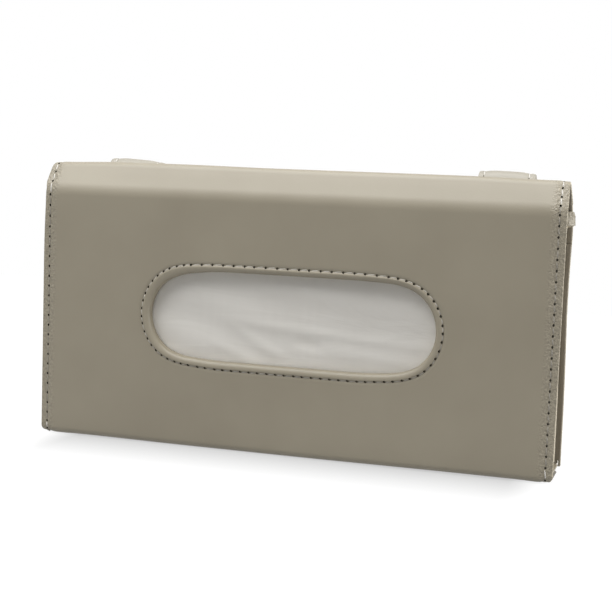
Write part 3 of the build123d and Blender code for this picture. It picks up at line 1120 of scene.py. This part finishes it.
# the row starts and ends at its lower side, where the thread runs double and shows paler
windowThreads.data.materials.append(paleThread)
for face in windowThreads.data.polygons:
    if face.center.z < windowCentre.z and ovalRow["doubled"][0] < face.center.x < ovalRow["doubled"][1]:
        face.material_index = 1
print("stitches laid")

for piece in (coverSkin, rowThreads["frontRowThreads"], rowThreads["crownRowThreads"]):
    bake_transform(piece)
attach(windowRoll, "cover")
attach(windowThreads, "cover")
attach(backSkin, "case")
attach(rowThreads["backRowThreads"], "case")
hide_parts("cover_leather")
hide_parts("window_binding")
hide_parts("case_leather")
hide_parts("cover_edge_stitching")
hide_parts("case_edge_stitching")
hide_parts("window_stitching")


# Straps: two layers each, sewn along both edges, bent over at the top
strap = {
    "width": 25.0 * mm,
    "layer": 1.05 * mm,
    "between": 0.1 * mm,
    "bend": 6.1 * mm,
    "bendBlend": 1.0 * mm,
    "blendLean": -0.046,
    "swayRadius": 70.0 * mm,
    "swayTop": 67.8 * mm,
    "swayLow": 48.2 * mm,
    "endRadius": 6.0 * mm,
    "edgeRound": 0.3 * mm,
    "columnInsets": (0.5, 1.1, 1.7, 2.1, 2.5, 2.9, 3.4, 4.2, 5.6, 8.0),
    "stitchInset": 2.5 * mm,
    "groove": 0.22 * mm,
    "grooveSpread": 0.6 * mm,
    "edgeDrop": 0.22 * mm,
    "edgeDropWidth": 1.7 * mm,
    "puff": 0.4 * mm,
    "puffSpan": (2.6 * mm, 7 * mm),
    "puffFree": (0.3 * mm, 4 * mm),
    "pitch": 4.4 * mm,
    "firstHole": 4.2 * mm,
    "lastHole": 2.0 * mm,
    "pitScale": 0.55,
    "anchorPitch": 4.1 * mm,
    "sink": {"strapLeft": (0.4 * mm, 1.8 * mm), "strapRight": (0.16 * mm, 0.7 * mm)},
    "sinkSpan": (-16 * mm, -3 * mm),
    "shift": {"strapLeft": (-0.9 * mm, -0.4 * mm), "strapRight": (0.7 * mm, -0.4 * mm)},
    "shiftSpan": (-20 * mm, -6 * mm),
}
strapTop = hingeAt["strap_left_hinge"].z
strapOuterY = backY + 2 * strap["bend"]
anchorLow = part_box("strap_left_anchor")[0].z
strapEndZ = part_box("strap_left")[0].z
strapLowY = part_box("strap_left_cap")[1].y - 1.8 * mm


def strapPath(inset):
    # the path of one layer, a distance in from the show side
    bend = strap["bend"] - inset
    corners = [
        (backY + inset, anchorLow),
        (backY + inset, strapTop - inset),
        (strapOuterY - inset, strapTop - inset),
        (strapOuterY - inset, strap["swayTop"]),
        (strapLowY - inset, strap["swayLow"]),
        (strapLowY - inset, strapEndZ),
    ]
    return planPath(corners, [bend, bend, strap["swayRadius"] + inset, strap["swayRadius"] - inset])


def strapSeat(path, distance, x):
    (y, z), direction = pathPoint(path, distance)
    outward = Vector((0, -direction.y, direction.x))
    place = Vector((x, y, z)) - outward * strap["groove"]
    return place, Vector((0, direction.x, direction.y)), outward


def makeStrap(name, body):
    pivot = hingeAt[body.replace("_free", "_hinge")]
    half = strap["width"] / 2

    def lean(ends, span, place):
        # from one edge of the strap to the other, growing towards its top
        share = (place.x - pivot.x) / strap["width"] + 0.5
        return (ends[0] + (ends[1] - ends[0]) * share) * ease(place.z - strapTop, *span)

    def settleBend(place):
        # a worn strap's bend lies lower, not level, and its edges lie a little out of line
        place.z -= lean(strap["sink"][name], strap["sinkSpan"], place)
        place.x += lean(strap["shift"][name], strap["shiftSpan"], place)

    def depth(place):
        edge = half - abs(place.x - pivot.x)
        groove = strap["groove"] * hill(edge, strap["stitchInset"], strap["grooveSpread"])
        thin = strap["edgeDrop"] * (1 - ease(edge, 0, strap["edgeDropWidth"]))
        puff = strap["puff"] * ease(edge, *strap["puffSpan"])
        return groove + thin - puff * ease(place.y - backY, *strap["puffFree"])

    layers = []
    for index, inset in enumerate((0, strap["layer"] + strap["between"])):
        ends = (pivot.x - half, pivot.x + half)
        layer = sheetAlong(f"{name}Layer{index}", strapPath(inset), *ends, 5 * mm, 0.8 * mm)
        pick(layer, lambda vertex: vertex.co.z < strapEndZ + 0.1 * mm and vertex.co.y > backY + 3 * mm)
        bpy.ops.mesh.bevel(offset=strap["endRadius"], segments=6, affect="VERTICES")
        done()
        insets = [sign * (half - inset * mm) for inset in strap["columnInsets"] for sign in (-1, 1)]
        addLoops(layer, 0, [pivot.x + x for x in insets])
        faceTowards(layer, (pivot.x, strapOuterY, 0.1), (0, 1, 0))
        if index == 0:
            press(layer, depth)
        for vertex in layer.data.vertices:
            settleBend(vertex.co)
        applyModifier(layer, "SOLIDIFY", thickness=strap["layer"], offset=-1, use_even_offset=True)
        roundRim(layer, rimFace, strap["edgeRound"], 2)
        setMaterials(layer, strapLeather)
        layers.append(layer)

    def isFree(place):
        # the row behind the free part is hidden
        return place.z > strapTop - 8 * mm or place.y > backY + 4 * mm

    path = strapPath(0)
    count = int((pathLength(path) - strap["endRadius"] - strap["lastHole"]) / strap["pitch"])
    shown = []
    for sign in (-1, 1):
        x = pivot.x + sign * (half - strap["stitchInset"])
        seats = [strapSeat(path, strap["firstHole"] + strap["pitch"] * index, x) for index in range(count)]
        shown.append([seat for seat in seats if isFree(seat[0])])
        for seat in shown[-1]:
            settleBend(seat[0])
    cutPits(layers[0], shown[0] + shown[1], strap["pitScale"])
    sheets = joinAll(layers, name)
    smooth(sheets)
    threads = makeThreads(name + "Threads", betweenHoles(shown[0]) + betweenHoles(shown[1]), paleThread)
    for piece in (sheets, threads):
        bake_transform(piece)
    node = name[:5] + "_" + name[5:].lower()
    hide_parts(node, node + "_backing", node + "_anchor")
    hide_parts(node + "_stitching")


def anchorSeats():
    # a box of stitches holds each strap to the back
    low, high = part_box("anchor_stitching")
    reach = hingeAt["strap_right_hinge"].x
    half = high.x - reach
    y = (low.y + high.y) / 2
    seats = []
    for centre in (-reach, reach):
        corners = [(-half, low.z), (half, low.z), (half, high.z), (-half, high.z), (-half, low.z)]
        corners = [Vector((centre + x, y, z)) for x, z in corners]
        for start, end in zip(corners, corners[1:]):
            count = round((end - start).length / strap["anchorPitch"])
            marks = [start.lerp(end, index / count) for index in range(count + 1)]
            seats += betweenHoles([(mark, end - start, Vector((0, 1, 0))) for mark in marks])
    return seats


# Press studs: a domed cap with a rolled rim on each strap
snapCap = {
    "head": 1.8 * mm,
    "crown": 0.5 * mm,
    "rimRound": 0.3 * mm,
    # rings from the rim to the middle: how far in, and how far up
    "rings": ((0.9, -0.3), (0.35, 0.3), (1.1, 0.31), (1.6, 0.19), (1.2, 0)),
}


def makeSnapCap(name, node, body):
    low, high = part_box(node)
    middle = (low + high) / 2
    base = high.y - snapCap["head"]
    rimTop = high.y - snapCap["crown"]
    bpy.ops.mesh.primitive_cylinder_add(
        vertices=48,
        radius=(high.x - low.x) / 2,
        depth=rimTop - base,
        location=(middle.x, (base + rimTop) / 2, middle.z),
        rotation=(math.pi / 2, 0, 0),
    )
    piece = namePiece(name)
    settle(piece)
    pick(piece, lambda face: face.normal.y > 0.9, "FACE")
    for inset, move in snapCap["rings"]:
        bpy.ops.mesh.inset(thickness=inset * mm)
        bpy.ops.transform.translate(value=(0, move * mm, 0))
    done()

    def isWall(face):
        return abs(face.normal.y) < 0.3 and face.center.y < rimTop

    roundRim(piece, isWall, snapCap["rimRound"], 3)
    setMaterials(piece, snapMetal)
    smooth(piece, 50)
    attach(piece, body)
    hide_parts(node)


makeStrap("strapLeft", "strap_left_free")
makeStrap("strapRight", "strap_right_free")
anchorThreads = makeThreads("anchorThreads", anchorSeats(), paleThread)
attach(anchorThreads, "case")
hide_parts("anchor_stitching")
makeSnapCap("capLeft", "strap_left_cap", "strap_left_free")
makeSnapCap("capRight", "strap_right_cap", "strap_right_free")
print("straps sewn")

# Gussets: a strip folded to a V at each side, its seam flanges turned in
gusset = {
    "thickness": 1.0 * mm,
    "flange": 8.5 * mm,
    "depth": 9.0 * mm,
    "foldRadius": 1.1 * mm,
    "valleyRadius": 1.8 * mm,
    "slack": 0.45 * mm,
    "underCrown": 2.2 * mm,
    "loops": (*range(14, 99, 6), 102.4, 103.2, 104.2, 106.5),
    "hemStitchDrop": 4.0 * mm,
    "hemStitchShares": (0.06, 0.36, 0.66, 0.94),
    "hemDepth": 10 * mm,
    "hemPale": 0.28 * mm,
    "hemFlare": 1.9 * mm,
    "flareRise": (-6.6 * mm, -5.4 * mm),
    "flareSpan": (-4 * mm, -0.5 * mm),
    "hemLook": -5.8 * mm,
    "bowEnd": (-7 * mm, -5 * mm),
}


def makeGusset(name, node, side):
    low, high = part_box(node)
    half = gusset["thickness"] / 2
    outer = max(abs(low.x), abs(high.x)) - half
    frontSeam, backSeam = low.y + half, high.y - half
    valleyY = (frontSeam + backSeam) / 2
    corners = [
        (frontSeam, outer - gusset["flange"]),
        (frontSeam, outer),
        (valleyY, outer - gusset["depth"]),
        (backSeam, outer),
        (backSeam, outer - gusset["flange"]),
    ]
    path = planPath(corners, [gusset["foldRadius"], gusset["valleyRadius"], gusset["foldRadius"]])
    ends = sorted((-side * low.z, -side * high.z))
    piece = sheetAlong(name, path, *ends, 3 * mm, 0.35 * mm)
    piece.rotation_euler = (0, side * math.pi / 2, 0)
    settle(piece)
    addLoops(piece, 2, [height * mm for height in gusset["loops"]])
    slope = Vector((0, shoulder[0] - peak[0], shoulder[1] - peak[1])).normalized()
    upward = Vector((0, -slope.z, slope.y))
    under = Vector((0, *peak)) - upward * gusset["underCrown"]
    pickAll(piece)
    bpy.ops.mesh.bisect(plane_co=under, plane_no=upward, clear_outer=True)
    done()
    faceTowards(piece, (side * halfWidth, valleyY + 4 * mm, 0.05), (side, 0, 0))
    middle = (low.z + high.z) / 2

    def slack(place):
        # the leaves bow in a little between the seams and the valley
        leaf = abs(place.y - valleyY) / (backSeam - valleyY)
        bow = math.sin(math.pi * min(1, leaf)) * (1 - ((place.z - middle) / (high.z - middle)) ** 2)
        return gusset["slack"] * bow

    def flareHem(place):
        # the thick end of the hem turns out under the crown
        share = ease(place.z - high.z, *gusset["flareRise"]) * ease(place.y, *gusset["flareSpan"])
        reach = outer + gusset["hemFlare"] - abs(place.x)
        if reach < gusset["depth"]:
            place.x += side * share * reach

    press(piece, slack)
    for vertex in piece.data.vertices:
        place = vertex.co
        # the inner edge of the back flange stays sewn flat
        if abs(place.x) > outer - gusset["flange"] + 1 * mm or place.y < backSeam - 0.2 * mm:
            flareHem(place)
        behind = ease(place.y, valleyY, backSeam - 2 * mm)
        place.x -= bowSide(place) * behind * (1 - ease(place.z - high.z, *gusset["bowEnd"]))
    applyModifier(piece, "SOLIDIFY", thickness=gusset["thickness"], offset=0, use_even_offset=True)
    hemLow = high.z - gusset["hemDepth"]
    roundRim(piece, lambda face: face.normal.z > 0.6 and face.center.z > hemLow, gusset["hemPale"], 2)
    setMaterials(piece, leather, edgeCoreAndHighlight, gussetLeatherPaintedLight)
    # the hem's upward edge gets the paler cut-edge material (pale core and painted highlight); the leaves
    # below the hem get the lighter leather that paints light into the crown's shade
    for face in piece.data.polygons:
        if face.normal.z > 0.5 and face.center.z > hemLow:
            face.material_index = 1
        elif face.center.z < high.z + gusset["hemLook"]:
            face.material_index = 2
    smooth(piece)
    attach(piece, "case")
    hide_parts(node)

    seats = []
    stitchZ = high.z - gusset["hemStitchDrop"]
    for startAt, endAt in ((corners[1], corners[2]), (corners[2], corners[3])):
        start, end = (Vector((side * x, y, stitchZ)) for y, x in (startAt, endAt))
        outward = (end - start).cross(Vector((0, 0, side))).normalized()
        marks = [start.lerp(end, share) + outward * half for share in gusset["hemStitchShares"]]
        for mark in marks:
            flareHem(mark)
        seats += betweenHoles([(mark, end - start, outward) for mark in marks])
    return seats


# loose ends of thread at the right side: where, along what, and how long, in millimetres
looseEnds = (
    ((114.4, -1.2, 4.5), (0.2, 1, -0.3), 1.7),
    ((114.4, 0.7, 4.2), (0, 1, 0.5), 1.5),
    ((114.3, 2.0, 4.7), (0, 0.4, 1), 1.3),
    ((115.3, 1.8, 103.5), (0.1, 1, 0.25), 2.4),
)


def looseSeats():
    outward = Vector((1, -0.3, 0.2))
    return [(Vector(place) * mm, Vector(along), outward, length * mm) for place, along, length in looseEnds]


hemSeats = makeGusset("gussetLeft", "gusset_left", -1) + makeGusset("gussetRight", "gusset_right", 1)
hemThreads = makeThreads("hemThreads", hemSeats + looseSeats(), paleThread)
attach(hemThreads, "case")
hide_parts("gusset_hem_stitching")


# Pocket and linings: copies of the CAD sheets with softened edges, shaped as the leather is
lining = {"drawIn": 0.3 * mm, "rows": range(6, 122, 5), "insets": (4, 9, 14, 40), "edgeAngle": 40}


def softCopy(name, node, body, width, material, shape=None):
    source = frame["nodes"][node]
    piece = source.copy()
    piece.data = source.data.copy()
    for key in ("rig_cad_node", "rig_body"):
        if key in piece:
            del piece[key]
    piece.parent = None
    piece.name = piece.data.name = name
    bpy.context.scene.collection.objects.link(piece)
    recalculate(piece)
    angle = math.radians(lining["edgeAngle"])
    applyModifier(piece, "BEVEL", width=width, segments=2, limit_method="ANGLE", angle_limit=angle)
    if shape:
        addLoops(piece, 2, [height * mm for height in lining["rows"]])
        columns = [halfWidth - inset * mm for inset in lining["insets"]]
        addLoops(piece, 0, [side * column for column in columns for side in (-1, 1)])
        shape(piece)
    setMaterials(piece, material)
    smooth(piece)
    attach(piece, body)
    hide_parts(node)


def drawCover(piece):
    # the linings end a hair inside the leather that they back
    softenCrown(piece)
    for vertex in piece.data.vertices:
        vertex.co.x *= 1 - lining["drawIn"] / halfWidth


def drawIn(piece):
    softenCrown(piece)
    for vertex in piece.data.vertices:
        vertex.co.x -= bowSide(vertex.co)
        vertex.co.x *= 1 - lining["drawIn"] / halfWidth


softCopy("pocketRim", "pocket_leather", "case", 0.3 * mm, leather)
softCopy("backLining", "back_lining", "case", 0.2 * mm, backing, drawIn)
softCopy("crownLining", "crown_lining", "case", 0.2 * mm, backing, drawIn)
softCopy("coverLining", "cover_lining", "cover", 0.2 * mm, backing, drawCover)


# Lining over the crease, inside the cover: its path from the crease, in millimetres
creaseCloth = {
    "thickness": 0.18 * mm,
    "path": ((3.02, -7), (3.02, -0.2), (3.9, 2.6), (5.6, 5.2)),
    "radii": (3 * mm, 6 * mm),
    "sideInset": 6.5 * mm,
}


def makeCreaseLining():
    corners = [(creaseY + y * mm, creaseZ + z * mm) for y, z in creaseCloth["path"]]
    path = planPath(corners, creaseCloth["radii"])
    half = halfWidth - creaseCloth["sideInset"]
    piece = sheetAlong("creaseLining", path, -half, half, 1.2 * mm, 0.4 * mm)
    addLoops(piece, 0, [x * mm for x in range(-100, 101, 20)])
    faceTowards(piece, (0, creaseY, creaseZ - 5 * mm), (0, 1, 0))
    applyModifier(piece, "SOLIDIFY", thickness=creaseCloth["thickness"], offset=1)
    setMaterials(piece, backing)
    smooth(piece)
    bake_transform(piece)


makeCreaseLining()


# Tissues: the soft pack, and the sheet that shows in the window
tissues = {
    "edgeRadius": 3.0 * mm,
    "packLoops": {0: 24, 2: 12},
    "sagDepth": 6 * mm,
    "grid": (130, 62),
    "thickness": 0.22 * mm,
    "foldShare": 0.4,
    "rippleShare": 0.12,
    "opening": (66 * mm, 22 * mm),
    "roomInside": 2.4 * mm,
    "roomOutside": 0.8 * mm,
    "frames": 24,
}
clothSettings = {
    "quality": 5,
    "mass": 0.02,
    "tension_stiffness": 20,
    "compression_stiffness": 20,
    "shear_stiffness": 8,
    "bending_stiffness": 0.25,
    "air_damping": 2,
    "shrink_min": -0.02,
    "vertex_group_mass": "held",
}
# soft folds of the sheet behind the window: start and end in (x, z), height and half width,
# all in millimetres
tissueFolds = (
    ((-33, 57), (16, 53.3), 1.1, 2.4),
    ((8, 54.2), (42, 51.3), 0.9, 2.0),
    ((34, 52), (66, 50.3), 0.7, 2.0),
    ((-58, 70), (-6, 57), 1.5, 5.5),
    ((-27, 55), (-1, 41), 1.0, 2.4),
    ((-37, 48), (-12, 37), 0.9, 2.6),
    ((3, 49.4), (15, 47.4), -1.0, 1.6),
    ((-68, 56), (-34, 44), 1.1, 5.0),
    ((4, 71), (66, 62), 1.2, 5.5),
    ((-50, 78), (-41, 68), 0.6, 1.3),
    ((14, 47), (58, 43), 0.8, 3.0),
    ((-20, 74), (24, 69), 0.9, 4.0),
)


def makeTissuePack():
    low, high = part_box("tissue_stack")
    bpy.ops.mesh.primitive_cube_add(size=1, location=(low + high) / 2)
    piece = namePiece("tissuePack")
    piece.scale = high - low
    settle(piece)
    pickAll(piece)
    bpy.ops.mesh.bevel(offset=tissues["edgeRadius"], segments=4, affect="EDGES")
    done()
    for axis, count in tissues["packLoops"].items():
        room = high[axis] - low[axis]
        addLoops(piece, axis, [low[axis] + room * index / count for index in range(1, count)])

    def sag(place):
        top = ease(place.z, high.z - tissues["sagDepth"], high.z)
        return top * (0.7 + 0.5 * math.sin(place.x * 60) + 0.3 * math.sin(place.x * 143 + 1)) * mm

    press(piece, sag)
    setMaterials(piece, tissueEdges)
    smooth(piece)
    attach(piece, "case")
    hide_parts("tissue_stack")


def foldHeight(x, z):
    height = 0
    for start, end, top, width in tissueFolds:
        first, line = Vector(start) * mm, (Vector(end) - Vector(start)) * mm
        away = Vector((x, z)) - first
        share = away.dot(line) / line.length_squared
        ends = ease(share, -0.15, 0.3) * (1 - ease(share, 0.7, 1.15))
        height += top * mm * ends * hill((away - line * share).length, 0, width * mm)
    return height


def makeTopTissue():
    low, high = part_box("top_tissue")
    middle = (low + high) / 2
    columns, lines = tissues["grid"]
    bpy.ops.mesh.primitive_grid_add(
        x_subdivisions=columns, y_subdivisions=lines, size=1, rotation=(math.pi / 2, 0, 0)
    )
    piece = namePiece("topTissue")
    piece.location = (middle.x, high.y - tissues["thickness"], middle.z)
    piece.scale = (high.x - low.x, high.z - low.z, 1)
    settle(piece)
    crumple(piece, low, high)
    for vertex in piece.data.vertices:
        vertex.co.y -= foldHeight(vertex.co.x, vertex.co.z) * tissues["foldShare"]
    applyModifier(piece, "SOLIDIFY", thickness=tissues["thickness"], offset=0)
    setMaterials(piece, tissuePaper)
    smooth(piece, 60)
    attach(piece, "case")
    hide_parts("top_tissue")


def crumple(piece, low, high):
    # the sheet is a little larger than its place, so it buckles away from the pack
    def margin(place):
        return min(place.x - low.x, high.x - place.x, place.z - low.z, high.z - place.z)

    held = piece.vertex_groups.new(name=clothSettings["vertex_group_mass"])
    held.add([vertex.index for vertex in piece.data.vertices if margin(vertex.co) < 1 * mm], 1.0, "REPLACE")
    pack = bpy.data.objects["tissuePack"]
    makeActive(pack)
    bpy.ops.object.modifier_add(type="COLLISION")
    pack.collision.thickness_outer = 0.1 * mm
    start = [vertex.co.copy() for vertex in piece.data.vertices]
    makeActive(piece)
    bpy.ops.object.modifier_add(type="CLOTH")
    cloth = piece.modifiers[-1]
    for key, value in clothSettings.items():
        setattr(cloth.settings, key, value)
    cloth.settings.effector_weights.gravity = 0
    cloth.collision_settings.distance_min = 0.15 * mm
    cloth.point_cache.frame_end = tissues["frames"]
    for frameNumber in range(1, tissues["frames"] + 1):
        bpy.context.scene.frame_set(frameNumber)
    makeActive(piece)
    bpy.ops.object.modifier_apply(modifier=cloth.name)
    makeActive(pack)
    bpy.ops.object.modifier_remove(modifier=pack.modifiers[-1].name)
    bpy.context.scene.frame_set(1)
    # behind the window there is more room for its ripples
    wide, tall = tissues["opening"]
    for vertex, before in zip(piece.data.vertices, start):
        out = before.y - vertex.co.y
        away = (vertex.co.x / wide) ** 4 + ((vertex.co.z - windowCentre.z) / tall) ** 4
        room = tissues["roomInside" if away < 1 else "roomOutside"]
        vertex.co.y = before.y - room * math.tanh(max(0, out) * tissues["rippleShare"] / room)
    piece.vertex_groups.clear()


makeTissuePack()
makeTopTissue()
print("gussets, pocket and pack made")


# Floor, backdrop and light
studio = {
    "floorColour": 0.30,
    "seenColour": 0.12,
    "floorReach": 1.3,
    "floorDrop": 0.05 * mm,
    # the floor's glow rises from its lowest at the footprint to its far level: a painted shadow round the
    # object
    "floorLift": 0.54,
    "liftGain": 8.5,
    "farLift": 0.94,
    "footprint": (0.097, 0.02, 0),
    "sideways": (3, 1, 1),
    "worldLight": 0.21,
    "aim": (0, 0, 0.06),
    # lamps: name, place, size, power
    "lamps": (
        ("keyLight", (-0.14, -0.19, 1.18), 1.1, 17.0),
        ("fillLight", (-0.65, -0.5, 0.8), 0.5, 2.7),
        ("sideLight", (1.2, 0.06, 0.25), 0.5, 12.5),
    ),
}


def makeFloor():
    bpy.ops.mesh.primitive_plane_add(size=studio["floorReach"], location=(0, 0, -studio["floorDrop"]))
    floor = namePiece("floor")
    settle(floor)
    material = bpy.data.materials.new("whiteFloor")
    material.use_nodes = True
    tree = material.node_tree
    tree.nodes.clear()
    # the lift is lowest at the object's footprint and grows with the distance from it: a painted soft
    # shadow round the footprint, over the floor's own shadow
    away = tree.nodes.new("ShaderNodeTexCoord").outputs["Object"]
    vectorMath = "ShaderNodeVectorMath"
    away = compute(tree, "ABSOLUTE", away, kind=vectorMath)
    away = compute(tree, "SUBTRACT", away, studio["footprint"], kind=vectorMath)
    away = compute(tree, "MAXIMUM", away, (0, 0, 0), kind=vectorMath)
    away = compute(tree, "MULTIPLY", away, studio["sideways"], kind=vectorMath)
    away = compute(tree, "LENGTH", away, kind=vectorMath, result="Value")
    lift = compute(tree, "MULTIPLY_ADD", away, studio["liftGain"], studio["floorLift"])
    lift = compute(tree, "MINIMUM", lift, studio["farLift"])
    # seen in the floor's place are its lift and a dark tone; on the object it reflects as pale
    rays = tree.nodes.new("ShaderNodeLightPath").outputs
    seen = compute(tree, "MULTIPLY", rays["Is Camera Ray"], lift)
    strength = compute(tree, "MULTIPLY_ADD", rays["Is Glossy Ray"], studio["farLift"], seen)
    tone = mapRange(tree, rays["Is Camera Ray"], (studio["floorColour"], studio["seenColour"]))
    matte = addNode(tree, "ShaderNodeBsdfDiffuse", Color=tone)
    glow = addNode(tree, "ShaderNodeEmission", Strength=strength)
    both = tree.nodes.new("ShaderNodeAddShader")
    output = tree.nodes.new("ShaderNodeOutputMaterial")
    tree.links.new(matte.outputs[0], both.inputs[0])
    tree.links.new(glow.outputs[0], both.inputs[1])
    tree.links.new(both.outputs[0], output.inputs["Surface"])
    setMaterials(floor, material)


def makeWorld():
    # white where it is seen or mirrored, and dim as a light
    world = bpy.data.worlds.new("whiteRoom")
    bpy.context.scene.world = world
    world.use_nodes = True
    tree = world.node_tree
    background = tree.nodes["Background"]
    background.inputs["Color"].default_value = (1, 1, 1, 1)
    rays = tree.nodes.new("ShaderNodeLightPath").outputs
    seen = compute(tree, "MAXIMUM", rays["Is Camera Ray"], rays["Is Glossy Ray"])
    tree.links.new(mapRange(tree, seen, (studio["worldLight"], 1.0)), background.inputs["Strength"])


def makeLamps():
    for name, place, size, power in studio["lamps"]:
        bpy.ops.object.light_add(type="AREA", location=place)
        lamp = bpy.context.object
        lamp.name = name
        lamp.data.size = size
        lamp.data.energy = power
        aim = Vector(studio["aim"]) - Vector(place)
        lamp.rotation_euler = aim.to_track_quat("-Z", "Y").to_euler()


makeFloor()
makeWorld()
makeLamps()
bpy.context.scene.view_settings.view_transform = "Standard"
print("studio lit")
